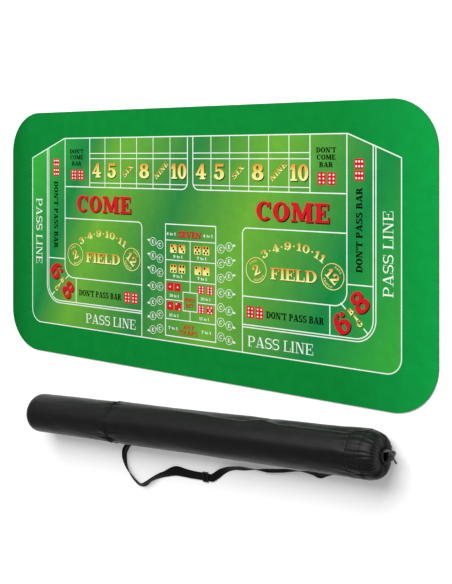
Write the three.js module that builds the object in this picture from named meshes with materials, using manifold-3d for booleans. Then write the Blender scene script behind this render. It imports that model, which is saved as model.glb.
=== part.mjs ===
// Roll-up craps table top with its drawstring carry bag.
// Millimetres, +Z up. The origin is the middle of the mat's underside, which lies on the floor or table.
// +X runs along the mat's long side, +Y towards the row of number boxes. The bag lies beside the mat's -Y edge.
// The bag, its strap and its drawcord are drawn in the bag's own frame: x along the bag from its foot
// to its mouth, y across it, z up from the floor.
import * as THREE from "three";
import { mergeVertices } from "three/addons/utils/BufferGeometryUtils.js";
import Module from "manifold-3d";

const wasm = await Module();
wasm.setup();

// ---- Driving dimensions ----
const GAP = 0.3; // clearance between pieces that touch

const MAT_LENGTH = 1829; // 72 inch
const MAT_WIDTH = 914; // 36 inch
const MAT_CORNER = 150;
const RUBBER_THICKNESS = 3;
const CLOTH_THICKNESS = 0.5;

const BAG_PLACE = [-734, -674]; // origin of the bag's frame, on the floor
const BAG_TURN = 4.08; // degrees from the mat's long side
const BAG_RADIUS = 70;
const FOOT_RADIUS = 69; // the foot sleeve is drawn in a little at the seam
const BAG_WALL = 1.6;
const BAG_SEGMENTS = 32;
const BAND_THICKNESS = 0.8;
const AXIS_HEIGHT = BAG_RADIUS + GAP + BAND_THICKNESS + 0.4; // bag axis above the floor
const FOOT_END = 30; // where the bag's foot starts
const FOOT_DOME = 50; // length of the rounded foot end
const FOOT_DISC_RADIUS = 30;
const FOOT_SEAM = 461;
const FOOT_BAND_WIDTH = 13;
const MOUTH_BAND = [1428, 1472];
const NECK_START = 1487; // where the mouth starts to close
const NECK_RADIUS = 68.6;
const MOUTH_END = 1519; // plane of the drawcord ring
const HEM_RING_RADIUS = 18;
const HEM_TUBE_RADIUS = 4.6;
const HEM_TUNNEL_RADIUS = 2.6;

const CORD_RADIUS = 1.5;
const CORD_SPACING = 3.8; // between the two strands, where they pass the lock
const EYELET_SPACING = 5.6; // between them where they leave the hem
const EYELET_ANGLE = 20; // degrees from +y towards +z, seen from the mouth
const LOCK_CENTRE = new THREE.Vector3(1539, 3.5, 63);
const LOCK_CORD_WAY = new THREE.Vector3(0, -0.8, -0.6); // the strands' direction through the lock
const LOCK_BUTTON_WAY = new THREE.Vector3(0, -0.6, 0.8); // the button's direction, out of the barrel
const KNOT_DISTANCE = 30; // from the lock's centre, along the strands
const KNOT_RADIUS = 4.5;
const BARREL_RADIUS = 7.5;
const BARREL_BORE = 5.7;
const BARREL_TOP = 8.5;
const BARREL_BOTTOM = -12;
const BARREL_FLOOR = 2; // thickness of the barrel's closed end
const PLUNGER_RADIUS = 5.3;
const PLUNGER_BOTTOM = -2;
const PLUNGER_CAP = [13.2, 16]; // heights of the cap's two faces, button out
const PRESS = 4.4; // button travel
const CORD_SLOT = [7.2, 8]; // width and height of the slot in barrel and plunger
const CORD_HEIGHT = PRESS / 2; // strands above the barrel slot's middle

const WEBBING_WIDTH = 25;
const WEBBING = 1; // thickness
const TAB_WIDTH = 22;
const HINGE_LINE = [-72.5, 19.4]; // y, z of the line through both strap anchors
const RING_X = 462;
const INNER_BAR = HINGE_LINE[0] + 6; // y of the ring's two long bars
const OUTER_BAR = HINGE_LINE[0] - 6;
const RING_HEIGHT = 28.8;
const RING_WIRE = 1.6; // wire radius
const SLIDER_X = 792;
const SLIDER_Y = -165;
const SLIDER_LENGTH = 22;
const SLIDER_CLEAR = 26.4; // inner width
const SLIDER_RAIL = 3;
const SLIDER_BAR = 4.5; // length of an outer bar along the strap
const RUN_HEIGHT = 4.5; // middle of the webbing where it passes over the slider's centre bar

const degrees = THREE.MathUtils.degToRad;

const finishes = {
  cloth: new THREE.MeshStandardMaterial({ color: 0x12943a, roughness: 0.8, metalness: 0 }),
  rubber: new THREE.MeshStandardMaterial({ color: 0x1c1c1c, roughness: 0.9, metalness: 0 }),
  polyester: new THREE.MeshStandardMaterial({ color: 0x2b2b2c, roughness: 0.55, metalness: 0 }),
  webbing: new THREE.MeshStandardMaterial({ color: 0x151515, roughness: 0.8, metalness: 0 }),
  plastic: new THREE.MeshStandardMaterial({ color: 0x171717, roughness: 0.4, metalness: 0 }),
  cord: new THREE.MeshStandardMaterial({ color: 0x3c3c3d, roughness: 0.8, metalness: 0 }),
  steel: new THREE.MeshStandardMaterial({ color: 0xa8a8a8, roughness: 0.35, metalness: 1 }),
};

function piece(name, geometry, finish) {
  const mesh = new THREE.Mesh(geometry, finishes[finish]);
  mesh.name = name;
  return mesh;
}

// ---- Joining and cutting ----
function toSolid(geometry) {
  const bare = geometry.clone();
  bare.deleteAttribute("normal");
  bare.deleteAttribute("uv");
  const merged = mergeVertices(bare, 1e-4);
  return new wasm.Manifold(
    new wasm.Mesh({
      numProp: 3,
      vertProperties: merged.attributes.position.array,
      triVerts: new Uint32Array(merged.index.array),
    }),
  );
}

function toGeometry(solid) {
  const mesh = solid.getMesh();
  return new THREE.BufferGeometry()
    .setAttribute("position", new THREE.BufferAttribute(mesh.vertProperties, 3))
    .setIndex(new THREE.BufferAttribute(mesh.triVerts, 1));
}

function join(geometries) {
  return toGeometry(geometries.map(toSolid).reduce((whole, next) => whole.add(next)));
}

function cut(geometry, ...tools) {
  return toGeometry(tools.map(toSolid).reduce((whole, tool) => whole.subtract(tool), toSolid(geometry)));
}

// ---- Shapes that several pieces share ----
// A box from its lowest and highest corner.
function block(low, high) {
  const size = high.map((value, i) => value - low[i]);
  const middle = high.map((value, i) => (value + low[i]) / 2);
  return new THREE.BoxGeometry(...size).translate(...middle);
}

// A body of revolution about the bag's axis, from [x, radius] points in the order that faces it outwards.
function turned(points) {
  const profile = points.map(([x, radius]) => new THREE.Vector2(radius, x));
  return new THREE.LatheGeometry(profile, BAG_SEGMENTS)
    .rotateZ(-Math.PI / 2)
    .translate(0, 0, AXIS_HEIGHT);
}

// A sleeve of the bag's wall thickness: the outer line, then back along the inner one.
function sleeve(outer, wall = BAG_WALL) {
  const inner = outer.map(([x, radius], i) => {
    const [xa, ra] = outer[Math.max(i - 1, 0)];
    const [xb, rb] = outer[Math.min(i + 1, outer.length - 1)];
    const length = Math.hypot(xb - xa, rb - ra);
    return [x + (wall * (rb - ra)) / length, radius - (wall * (xb - xa)) / length];
  });
  return turned([...outer, ...inner.reverse(), outer[0]]);
}

// A round cord or wire along a curve.
function tube(curve, radius, steps, sides = 8) {
  const points = Array.from({ length: sides }, (_, i) => {
    const angle = (2 * Math.PI * i) / sides;
    return new THREE.Vector2(radius * Math.cos(angle), radius * Math.sin(angle));
  });
  return new THREE.ExtrudeGeometry(new THREE.Shape(points), { steps, extrudePath: curve });
}

// How flat webbing lies along a hand-laid route of [x, y, z, tilt] points. Tilt 0 lies flat, 90 stands on edge.
function laid(route) {
  const line = new THREE.CatmullRomCurve3(route.map(([x, y, z]) => new THREE.Vector3(x, y, z)));
  const roll = new THREE.CatmullRomCurve3(route.map((point) => new THREE.Vector3(point[3], 0, 0)));
  return (t) => {
    const along = line.getTangent(t);
    const level = new THREE.Vector3(-along.y, along.x, 0).normalize();
    const upright = new THREE.Vector3().crossVectors(along, level);
    const tilt = roll.getPoint(t).x;
    const lean = degrees(tilt);
    const wide = level.multiplyScalar(Math.cos(lean)).addScaledVector(upright, Math.sin(lean));
    return { point: line.getPoint(t), wide, thick: along.cross(wide), tilt };
  };
}

function ribbon(route, steps, width = WEBBING_WIDTH) {
  const at = laid(route);
  const corners = [[-1, -1], [1, -1], [1, 1], [-1, 1]];
  const positions = [];
  for (let i = 0; i <= steps; i++) {
    const { point, wide, thick } = at(i / steps);
    for (const [w, t] of corners) {
      const corner = point.clone().addScaledVector(wide, (w * width) / 2);
      positions.push(...corner.addScaledVector(thick, (t * WEBBING) / 2).toArray());
    }
  }
  const faces = [0, 2, 1, 0, 3, 2];
  for (let i = 0; i < steps; i++) {
    for (let k = 0; k < 4; k++) {
      const [a, b] = [4 * i + k, 4 * i + ((k + 1) % 4)];
      faces.push(a, b, b + 4, a, b + 4, a + 4);
    }
  }
  const last = 4 * steps;
  faces.push(last, last + 1, last + 2, last, last + 2, last + 3);
  return new THREE.BufferGeometry()
    .setAttribute("position", new THREE.Float32BufferAttribute(positions, 3))
    .setIndex(faces);
}

// ---- The mat ----
function matSheet(bottom, thickness) {
  const [x, y, r] = [MAT_LENGTH / 2, MAT_WIDTH / 2, MAT_CORNER];
  const outline = new THREE.Shape();
  outline.absarc(x - r, y - r, r, 0, Math.PI / 2);
  outline.absarc(r - x, y - r, r, Math.PI / 2, Math.PI);
  outline.absarc(r - x, r - y, r, Math.PI, 1.5 * Math.PI);
  outline.absarc(x - r, r - y, r, 1.5 * Math.PI, 2 * Math.PI);
  const options = { depth: thickness, bevelEnabled: false, curveSegments: 16 };
  return new THREE.ExtrudeGeometry(outline, options).translate(0, 0, bottom);
}

function mat() {
  return [
    piece("mat_rubber_base", matSheet(0, RUBBER_THICKNESS), "rubber"),
    piece("mat_cloth_top", matSheet(RUBBER_THICKNESS + GAP, CLOTH_THICKNESS), "cloth"),
  ];
}

// ---- The bag's shell ----
// The foot end bulges: how far along the bag its skin is at a given radius.
function footDome(radius) {
  const fullness = 2.6;
  return FOOT_END + FOOT_DOME * (1 - (1 - (radius / FOOT_RADIUS) ** fullness) ** (1 / fullness));
}

function footDisc() {
  const steps = 5;
  const outer = Array.from({ length: steps + 1 }, (_, i) => {
    const radius = (FOOT_DISC_RADIUS * i) / steps;
    return [footDome(radius), radius];
  });
  const inner = outer.map(([x, radius]) => [x + BAG_WALL, radius]).reverse();
  return turned([...outer, ...inner]);
}

function footSleeve() {
  const steps = 9;
  const start = FOOT_DISC_RADIUS + 3 * GAP;
  const dome = Array.from({ length: steps + 1 }, (_, i) => {
    const radius = start + (FOOT_RADIUS - start) * Math.sin((Math.PI / 2) * (i / steps));
    return [footDome(radius), radius];
  });
  return sleeve([...dome, [200, FOOT_RADIUS], [FOOT_SEAM - GAP / 2, FOOT_RADIUS]]);
}

function mainSleeve() {
  return sleeve([
    [FOOT_SEAM + GAP / 2, BAG_RADIUS],
    [800, BAG_RADIUS],
    [1100, BAG_RADIUS],
    [MOUTH_BAND[0] - GAP / 2, BAG_RADIUS],
  ]);
}

function mouthSleeve() {
  return sleeve([
    [MOUTH_BAND[0] + GAP / 2, BAG_RADIUS],
    [1474, BAG_RADIUS],
    [NECK_START - GAP / 2, NECK_RADIUS],
  ]);
}

// The end of the mouth that the drawcord gathers.
function mouthNeck() {
  return sleeve([
    [NECK_START + 2 * GAP, NECK_RADIUS], // its inner edge leans back
    [1498, 65.2],
    [1507, 60.2],
    [1513, 53.6],
    [1516.4, 45],
    [1517.4, 35],
    [1517.8, HEM_RING_RADIUS + HEM_TUBE_RADIUS + GAP],
  ]);
}

function seamBand(from, to) {
  const low = BAG_RADIUS + GAP;
  const high = low + BAND_THICKNESS;
  return turned([[from, low], [from, high], [to, high], [to, low], [from, low]]);
}

// A ring about the bag's axis with a round section, for the hem, its tunnel and the cord in it.
function hemRing(sectionRadius, sides) {
  return new THREE.TorusGeometry(HEM_RING_RADIUS, sectionRadius, sides, BAG_SEGMENTS)
    .rotateY(Math.PI / 2)
    .translate(MOUTH_END, 0, AXIS_HEIGHT);
}

// The hem is the drawcord's tunnel, open on its outer side where the strands come out.
function mouthHem() {
  const window = block([MOUTH_END, -3, -6], [MOUTH_END + 10, 3, 6])
    .translate(0, HEM_RING_RADIUS, 0)
    .rotateX(degrees(EYELET_ANGLE))
    .translate(0, 0, AXIS_HEIGHT);
  return cut(hemRing(HEM_TUBE_RADIUS, 12), hemRing(HEM_TUNNEL_RADIUS, 10), window);
}

function bagShell() {
  return [
    piece("bag_foot_disc", footDisc(), "polyester"),
    piece("bag_foot_sleeve", footSleeve(), "polyester"),
    piece("bag_main_sleeve", mainSleeve(), "polyester"),
    piece("bag_mouth_sleeve", mouthSleeve(), "polyester"),
    piece("bag_mouth_neck", mouthNeck(), "polyester"),
    piece("foot_seam_band", seamBand(FOOT_SEAM - FOOT_BAND_WIDTH / 2, FOOT_SEAM + FOOT_BAND_WIDTH / 2), "polyester"),
    piece("mouth_seam_band", seamBand(...MOUTH_BAND), "polyester"),
    piece("mouth_hem", mouthHem(), "polyester"),
  ];
}

// ---- The drawcord ----
// side is 1 or -1: the two strands leave the eyelet side by side and pass the lock side by side.
function strandRoute(side) {
  const angle = degrees(EYELET_ANGLE);
  const eyelet = new THREE.Vector3(
    MOUTH_END + CORD_RADIUS + 2 * GAP + 1.2,
    HEM_RING_RADIUS * Math.cos(angle) - (side * EYELET_SPACING / 2) * Math.sin(angle),
    AXIS_HEIGHT + HEM_RING_RADIUS * Math.sin(angle) + (side * EYELET_SPACING / 2) * Math.cos(angle),
  );
  const atLock = (distance) =>
    LOCK_CENTRE.clone()
      .addScaledVector(LOCK_CORD_WAY, distance)
      .addScaledVector(LOCK_BUTTON_WAY, CORD_HEIGHT)
      .add(new THREE.Vector3((side * CORD_SPACING) / 2, 0, 0));
  const route = new THREE.CurvePath();
  const straight = atLock(-17);
  route.add(
    new THREE.CubicBezierCurve3(
      eyelet,
      eyelet.clone().add(new THREE.Vector3(12 + side * 3.4, 0, 0)),
      straight.clone().addScaledVector(LOCK_CORD_WAY, -10),
      straight,
    ),
  );
  route.add(new THREE.LineCurve3(straight, atLock(KNOT_DISTANCE - KNOT_RADIUS - GAP)));
  return route;
}

function drawcord() {
  const knot = new THREE.SphereGeometry(KNOT_RADIUS, 12, 8);
  const place = LOCK_CENTRE.clone()
    .addScaledVector(LOCK_CORD_WAY, KNOT_DISTANCE)
    .addScaledVector(LOCK_BUTTON_WAY, CORD_HEIGHT);
  return [
    piece("drawcord_ring", hemRing(CORD_RADIUS, 8), "cord"),
    piece("drawcord_upper_strand", tube(strandRoute(1), CORD_RADIUS, 20), "cord"),
    piece("drawcord_lower_strand", tube(strandRoute(-1), CORD_RADIUS, 20), "cord"),
    piece("drawcord_knot", knot.translate(place.x, place.y, place.z), "cord"),
  ];
}

// ---- The cord lock, in its own frame: x along the strands, z along the button ----
function lockPart(profile) {
  return new THREE.LatheGeometry(profile.map(([radius, z]) => new THREE.Vector2(radius, z)), 20).rotateX(Math.PI / 2);
}

function cordSlot(middle) {
  const [width, height] = CORD_SLOT;
  return block([-20, -width / 2, middle - height / 2], [20, width / 2, middle + height / 2]);
}

function barrel() {
  const soft = 1.5; // rounded edge at the closed end
  const shell = lockPart([
    [0, BARREL_BOTTOM],
    [BARREL_RADIUS - soft, BARREL_BOTTOM],
    [BARREL_RADIUS, BARREL_BOTTOM + soft],
    [BARREL_RADIUS, BARREL_TOP],
    [BARREL_BORE, BARREL_TOP],
    [BARREL_BORE, BARREL_BOTTOM + BARREL_FLOOR],
    [0, BARREL_BOTTOM + BARREL_FLOOR],
  ]);
  return cut(shell, cordSlot(0));
}

function plunger() {
  const [capUnder, capTop] = PLUNGER_CAP;
  const stem = lockPart([
    [0, PLUNGER_BOTTOM],
    [PLUNGER_RADIUS, PLUNGER_BOTTOM],
    [PLUNGER_RADIUS, capUnder],
    [BARREL_RADIUS - 0.5, capUnder],
    [BARREL_RADIUS - 0.5, capTop - 1],
    [BARREL_RADIUS - 1.5, capTop],
    [0, capTop],
  ]);
  return cut(stem, cordSlot(PRESS));
}

class Coil extends THREE.Curve {
  constructor(radius, turns, bottom, top) {
    super();
    Object.assign(this, { radius, turns, bottom, top });
  }
  getPoint(t) {
    const angle = 2 * Math.PI * this.turns * t;
    const height = this.bottom + (this.top - this.bottom) * t;
    return new THREE.Vector3(this.radius * Math.cos(angle), this.radius * Math.sin(angle), height);
  }
}

function lockSpring() {
  const wire = 0.4;
  const turns = 3.5;
  const bottom = BARREL_BOTTOM + BARREL_FLOOR + wire + GAP;
  const top = PLUNGER_BOTTOM - wire - GAP;
  return tube(new Coil(4, turns, bottom, top), wire, 56, 6);
}

function cordLock() {
  const group = new THREE.Group();
  const across = new THREE.Vector3().crossVectors(LOCK_BUTTON_WAY, LOCK_CORD_WAY);
  const turn = new THREE.Matrix4().makeBasis(LOCK_CORD_WAY, across, LOCK_BUTTON_WAY);
  group.setRotationFromMatrix(turn);
  group.position.copy(LOCK_CENTRE);
  group.add(
    piece("cord_lock_barrel", barrel(), "plastic"),
    piece("cord_lock_plunger", plunger(), "plastic"),
    piece("cord_lock_spring", lockSpring(), "steel"),
  );
  return group;
}

// ---- The shoulder strap ----
// How high the middle of the webbing is when its lower edge rests on the floor, under it `under` more of it.
function resting(tilt, under = 0) {
  const lean = degrees(tilt);
  return (
    (WEBBING_WIDTH / 2) * Math.abs(Math.sin(lean)) +
    (WEBBING / 2 + under) * Math.abs(Math.cos(lean)) +
    GAP
  );
}

// Route points half way round one of the ring's upright bars, between two angles in degrees.
function roundBar(y, from, to) {
  const radius = 2.9;
  return [0, 0.25, 0.5, 0.75, 1].map((share) => {
    const angle = degrees(from + (to - from) * share);
    return [RING_X + radius * Math.cos(angle), y + radius * Math.sin(angle), HINGE_LINE[1], 90];
  });
}

const LAYER = 2; // spacing of the two layers of webbing

const runRoute = [
  [RING_X + 3.2, OUTER_BAR - 4.5, HINGE_LINE[1], 90],
  ...roundBar(OUTER_BAR, 0, 180),
  [456, -84, 19, 90],
  [443, -94, 16, 90],
  [432, -108, 14, 90],
  [427, -128, resting(88), 88],
  [429, -152, resting(72, LAYER), 72],
  [438, -180, resting(52, LAYER), 52],
  [458, -206, resting(38, LAYER), 38],
  [485, -224, resting(38, LAYER), 38],
  [512, -226, resting(58, LAYER), 58],
  [542, -209, resting(76, LAYER), 76],
  [580, -190, resting(58, LAYER), 58],
  [620, -175, resting(34, LAYER), 34],
  [661, -165, resting(12, LAYER) + 0.8, 12],
  [700, -164.5, RUN_HEIGHT, 1],
  [722, SLIDER_Y, RUN_HEIGHT, 0],
  [757, SLIDER_Y, RUN_HEIGHT, 0],
  [SLIDER_X, SLIDER_Y, RUN_HEIGHT, 0],
  [808, SLIDER_Y, RUN_HEIGHT, 0],
  [820, SLIDER_Y, RUN_HEIGHT, 0],
  [842, -153, resting(14) + 1.4, 14],
  [864, -139, resting(32) + 0.4, 32],
  [890, -127, resting(46), 46],
  [918, -120, resting(50), 50],
  [950, -117, resting(46), 46],
  [990, -113, resting(62), 62],
  [1028, -110, resting(86), 86],
  [1070, -109, resting(104), 104],
  [1120, -103, resting(104), 104],
  [1180, -98, resting(74), 74],
  [1225, -99, resting(44), 44],
  [1246, -103, resting(32), 32],
  [1268, -98, resting(52), 52],
  [1304, -91, resting(80) + 1, 80],
  [1350, -80, 17, 110],
  [1385, -73, HINGE_LINE[1], 125],
  [1404, HINGE_LINE[0], HINGE_LINE[1], 125.8],
];

// The second layer of webbing lies one layer's spacing under the first, between two of the first one's points.
function secondLayer(from, to) {
  const fineness = 3; // points for each of the first layer's
  const at = laid(runRoute);
  return Array.from({ length: (to - from) * fineness + 1 }, (_, i) => {
    const { point, thick, tilt } = at((from + i / fineness) / (runRoute.length - 1));
    return [...point.addScaledVector(thick, -LAYER).toArray(), tilt];
  });
}

const DOUBLED = [427, 620].map((start) => runRoute.findIndex(([x]) => x === start));

const returnRoute = [
  [RING_X + 3.2, OUTER_BAR - 6.6, HINGE_LINE[1], 90],
  [459, -93, 17, 90],
  [445, -105, 14.5, 90],
  ...secondLayer(...DOUBLED),
  [661, -157, resting(6), 6],
  [705, -162, resting(0), 0],
  [745, SLIDER_Y, resting(0), 0],
  [SLIDER_X - 22.8, SLIDER_Y, resting(0), 0],
];

function footRing() {
  const [low, high] = [HINGE_LINE[1] - RING_HEIGHT / 2, HINGE_LINE[1] + RING_HEIGHT / 2];
  const upright = (y) =>
    new THREE.CylinderGeometry(RING_WIRE, RING_WIRE, RING_HEIGHT, 10)
      .rotateX(Math.PI / 2)
      .translate(RING_X, y, HINGE_LINE[1]);
  const ends = [low, high].map((z) =>
    block(
      [RING_X - RING_WIRE, OUTER_BAR - RING_WIRE, z - RING_WIRE],
      [RING_X + RING_WIRE, INNER_BAR + RING_WIRE, z + RING_WIRE],
    ),
  );
  return join([upright(INNER_BAR), upright(OUTER_BAR), ...ends]);
}

// The tab leaves the foot seam, goes round the ring's inner bar and comes back.
function footTab() {
  return ribbon(
    [
      [448, -61, HINGE_LINE[1], 90],
      [454, -63, HINGE_LINE[1], 90],
      ...roundBar(INNER_BAR, 180, 360),
      [464, -62.6, HINGE_LINE[1], 90],
      [459, -60.6, HINGE_LINE[1], 90],
    ],
    32,
    TAB_WIDTH,
  );
}

function mouthTab() {
  return ribbon(
    [
      [1466, -59.2, 28.8, 54.2],
      [1446, -60, 28.3, 54.2],
      [1428, -65.6, 24.2, 54.2],
      [1404.4, HINGE_LINE[0], HINGE_LINE[1], 54.2],
    ],
    10,
  );
}

// A tri-glide: the webbing passes under its two outer bars and over its centre bar.
function sliderFrame() {
  const [near, far] = [SLIDER_X - SLIDER_LENGTH / 2, SLIDER_X + SLIDER_LENGTH / 2];
  const half = SLIDER_CLEAR / 2;
  const [low, barLow, top] = [1.5, RUN_HEIGHT + WEBBING / 2 + GAP, 7.2];
  const rails = [-1, 1].map((side) => {
    const edges = [SLIDER_Y + side * half, SLIDER_Y + side * (half + SLIDER_RAIL)].sort((a, b) => a - b);
    return block([near, edges[0], low], [far, edges[1], top]);
  });
  const bar = (from, to, bottom, upper) =>
    block([from, SLIDER_Y - half - 1, bottom], [to, SLIDER_Y + half + 1, upper]);
  return join([
    ...rails,
    bar(near, near + SLIDER_BAR, barLow, top),
    bar(far - SLIDER_BAR, far, barLow, top),
    bar(SLIDER_X - 2, SLIDER_X + 2, low, 2.6),
  ]);
}

// The end of the webbing is folded round the slider's centre bar and sewn down.
function tailWrap() {
  const from = SLIDER_X - 22.5;
  const [outerRadius, innerRadius] = [1.7, 0.85];
  const middle = 2; // height of the fold's middle
  const outline = new THREE.Shape();
  outline.moveTo(from, middle - outerRadius);
  outline.absarc(SLIDER_X + 2, middle, outerRadius, -Math.PI / 2, Math.PI / 2);
  outline.lineTo(from + 6, middle + outerRadius);
  outline.lineTo(from + 6, middle + innerRadius);
  outline.absarc(SLIDER_X + 2, middle, innerRadius, Math.PI / 2, -Math.PI / 2, true);
  outline.lineTo(from, middle - innerRadius);
  const options = { depth: WEBBING_WIDTH - 1, bevelEnabled: false, curveSegments: 6 };
  return new THREE.ExtrudeGeometry(outline, options)
    .rotateX(Math.PI / 2)
    .translate(0, SLIDER_Y + (WEBBING_WIDTH - 1) / 2, 0);
}

function shoulderStrap() {
  return [
    piece("foot_anchor_tab", footTab(), "webbing"),
    piece("foot_ring", footRing(), "plastic"),
    piece("strap_run", ribbon(runRoute, 210), "webbing"),
    piece("strap_return", ribbon(returnRoute, 110), "webbing"),
    piece("slider_frame", sliderFrame(), "plastic"),
    piece("strap_tail_wrap", tailWrap(), "webbing"),
    piece("mouth_anchor_tab", mouthTab(), "webbing"),
  ];
}

// ---- The whole set ----
const bag = new THREE.Group();
bag.position.set(BAG_PLACE[0], BAG_PLACE[1], 0);
bag.rotation.z = degrees(BAG_TURN);
bag.add(...bagShell(), ...drawcord(), cordLock(), ...shoulderStrap());

const group = new THREE.Group();
group.add(...mat(), bag);

export default group;
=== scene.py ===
"""A roll-up craps table top and its drawstring carry bag.

Metres, in the frame of the CAD model: the mat lies on the floor with its middle at the origin, +X along its
long side and +Y towards the number boxes. The bag lies beside the mat's -Y edge and has its own frame,
x along the bag from its foot, y across it, z up, in millimetres.
"""
import math
from itertools import accumulate

import bmesh
import bpy
from mathutils import Matrix, Vector, noise
from mathutils.geometry import delaunay_2d_cdt


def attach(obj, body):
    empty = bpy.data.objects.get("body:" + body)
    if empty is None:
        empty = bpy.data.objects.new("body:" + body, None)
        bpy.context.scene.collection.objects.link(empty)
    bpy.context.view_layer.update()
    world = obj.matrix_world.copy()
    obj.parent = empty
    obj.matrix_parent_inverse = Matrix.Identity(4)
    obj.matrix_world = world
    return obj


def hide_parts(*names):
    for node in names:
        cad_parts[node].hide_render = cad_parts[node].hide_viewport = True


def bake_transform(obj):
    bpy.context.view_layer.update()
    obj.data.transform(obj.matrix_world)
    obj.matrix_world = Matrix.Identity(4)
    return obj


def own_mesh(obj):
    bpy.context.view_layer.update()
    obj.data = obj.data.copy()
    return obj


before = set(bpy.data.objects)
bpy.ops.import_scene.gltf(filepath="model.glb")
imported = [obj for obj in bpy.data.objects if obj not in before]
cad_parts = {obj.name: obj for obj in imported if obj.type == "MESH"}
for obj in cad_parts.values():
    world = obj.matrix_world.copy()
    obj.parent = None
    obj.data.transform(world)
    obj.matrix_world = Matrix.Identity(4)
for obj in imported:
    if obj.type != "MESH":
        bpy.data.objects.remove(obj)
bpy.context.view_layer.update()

MM = 0.001

# ---- The camera ----
camera = bpy.data.objects.new("camera", bpy.data.cameras.new("camera"))
bpy.context.scene.collection.objects.link(camera)
bpy.context.scene.camera = camera
camera.location = (2.1667, 0.2832, 2.5751)
camera.rotation_euler = (0, math.radians(38.02), 0)
camera.data.lens = 61.22
camera.data.sensor_width = 36
camera.data.shift_x = -0.0009
camera.data.shift_y = -0.2294
camera.data.clip_end = 100
bpy.context.scene.view_settings.view_transform = "Standard"


# ---- Materials ----
def colour(code):
    """An sRGB hex colour as linear RGBA."""
    channels = [int(code[i : i + 2], 16) / 255 for i in (1, 3, 5)]
    return [c / 12.92 if c <= 0.04045 else ((c + 0.055) / 1.055) ** 2.4 for c in channels] + [1]


def node(tree, kind, inputs=(), out=0, stops=(), **settings):
    """Adds a node and gives one of its outputs. inputs gives each socket, by name or number, a value or the
    output that feeds it. stops are a colour ramp's (position, hex colour) pairs."""
    made = tree.nodes.new(kind)
    for name, value in settings.items():
        setattr(made, name, value)
    for socket, value in dict(inputs).items():
        if isinstance(value, bpy.types.NodeSocket):
            tree.links.new(value, made.inputs[socket])
        else:
            made.inputs[socket].default_value = value
    if stops:
        elements = made.color_ramp.elements
        while len(elements) < len(stops):
            elements.new(0.5)
        for element, (position, code) in zip(elements, stops):
            element.position = position
            element.color = colour(code)
    return made.outputs[out]


def finish(name, pattern, **sockets):
    """A material. sockets are set on its shader, and pattern(tree) gives the outputs that feed the others."""
    material = bpy.data.materials.new(name)
    material.use_nodes = True
    tree = material.node_tree
    shader = tree.nodes["Principled BSDF"]
    for socket, value in sockets.items():
        shader.inputs[socket.replace("_", " ")].default_value = value
    for socket, output in pattern(tree).items():
        tree.links.new(output, shader.inputs[socket])
    return material


def woven(tree, vector, pitch_x, pitch_y):
    """Plain weave height, -1 to 1: over-and-under threads, pitch_x and pitch_y apart in the vector's units."""
    waves = []
    for axis, pitch in (("X", pitch_x), ("Y", pitch_y)):
        along = node(tree, "ShaderNodeSeparateXYZ", {0: vector}, axis)
        turn = node(tree, "ShaderNodeMath", {0: along, 1: math.pi / pitch}, operation="MULTIPLY")
        waves.append(node(tree, "ShaderNodeMath", {0: turn}, operation="SINE"))
    return node(tree, "ShaderNodeMath", {0: waves[0], 1: waves[1]}, operation="MULTIPLY")


def by_height(tree, height, stops):
    """Colours from a weave's lowest threads to its highest: painted shade, darker down between the threads."""
    share = node(tree, "ShaderNodeMapRange", {0: height, 1: -1.0, 2: 1.0})
    return node(tree, "ShaderNodeValToRGB", {0: share}, stops=stops)


def speckled(tree, scale, detail, stops, distance=0, strength=1.0):
    """Specks of tone all through a material, which stand distance proud of its surface."""
    where = node(tree, "ShaderNodeTexCoord", out="Object")
    specks = node(tree, "ShaderNodeTexNoise", {"Vector": where, "Scale": scale, "Detail": detail})
    feeds = {"Base Color": node(tree, "ShaderNodeValToRGB", {0: specks}, stops=stops)}
    if distance:
        grain = {"Height": specks, "Distance": distance, "Strength": strength}
        feeds["Normal"] = node(tree, "ShaderNodeBump", grain)
    return feeds


# Polyester jersey, knitted and dye-printed: soft and matt. The real courses are 0.4 mm apart.
# They are drawn 1.6 mm apart to show.
def jersey(tree, printed):
    """The knit in a printed colour, which is linear RGBA or an output."""
    where = node(tree, "ShaderNodeTexCoord", out="Object")
    mottle = node(tree, "ShaderNodeTexNoise", {"Vector": where, "Scale": 24, "Detail": 5, "Roughness": 0.6})
    fibre = node(tree, "ShaderNodeTexNoise", {"Vector": where, "Scale": 420, "Detail": 3})
    for specks, low in ((mottle, "#F2F2F2"), (fibre, "#F0F0F0")):
        tone = node(tree, "ShaderNodeValToRGB", {0: specks}, stops=[(0.3, low), (0.7, "#FFFFFF")])
        layers = {0: 1.0, 6: printed, 7: tone}
        printed = node(tree, "ShaderNodeMix", layers, 2, data_type="RGBA", blend_type="MULTIPLY")
    knit = woven(tree, where, 1.6 * MM, 1.2 * MM)
    loft = node(tree, "ShaderNodeMath", {0: knit, 1: 0.5, 2: fibre}, operation="MULTIPLY_ADD")
    return {
        "Base Color": printed,
        "Normal": node(tree, "ShaderNodeBump", {"Height": loft, "Distance": 0.15 * MM, "Strength": 0.5}),
    }


def gold_fade(tree):
    """Ink that fades from the foot to the head of each letter or die, which its UV map's v follows."""
    up = node(tree, "ShaderNodeSeparateXYZ", {0: node(tree, "ShaderNodeTexCoord", out="UV")}, "Y")
    fade = [(0.1, "#FFF6A4"), (0.5, "#FBDE78"), (0.95, "#EB9B3C")]
    return jersey(tree, node(tree, "ShaderNodeValToRGB", {0: up}, stops=fade))


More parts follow.
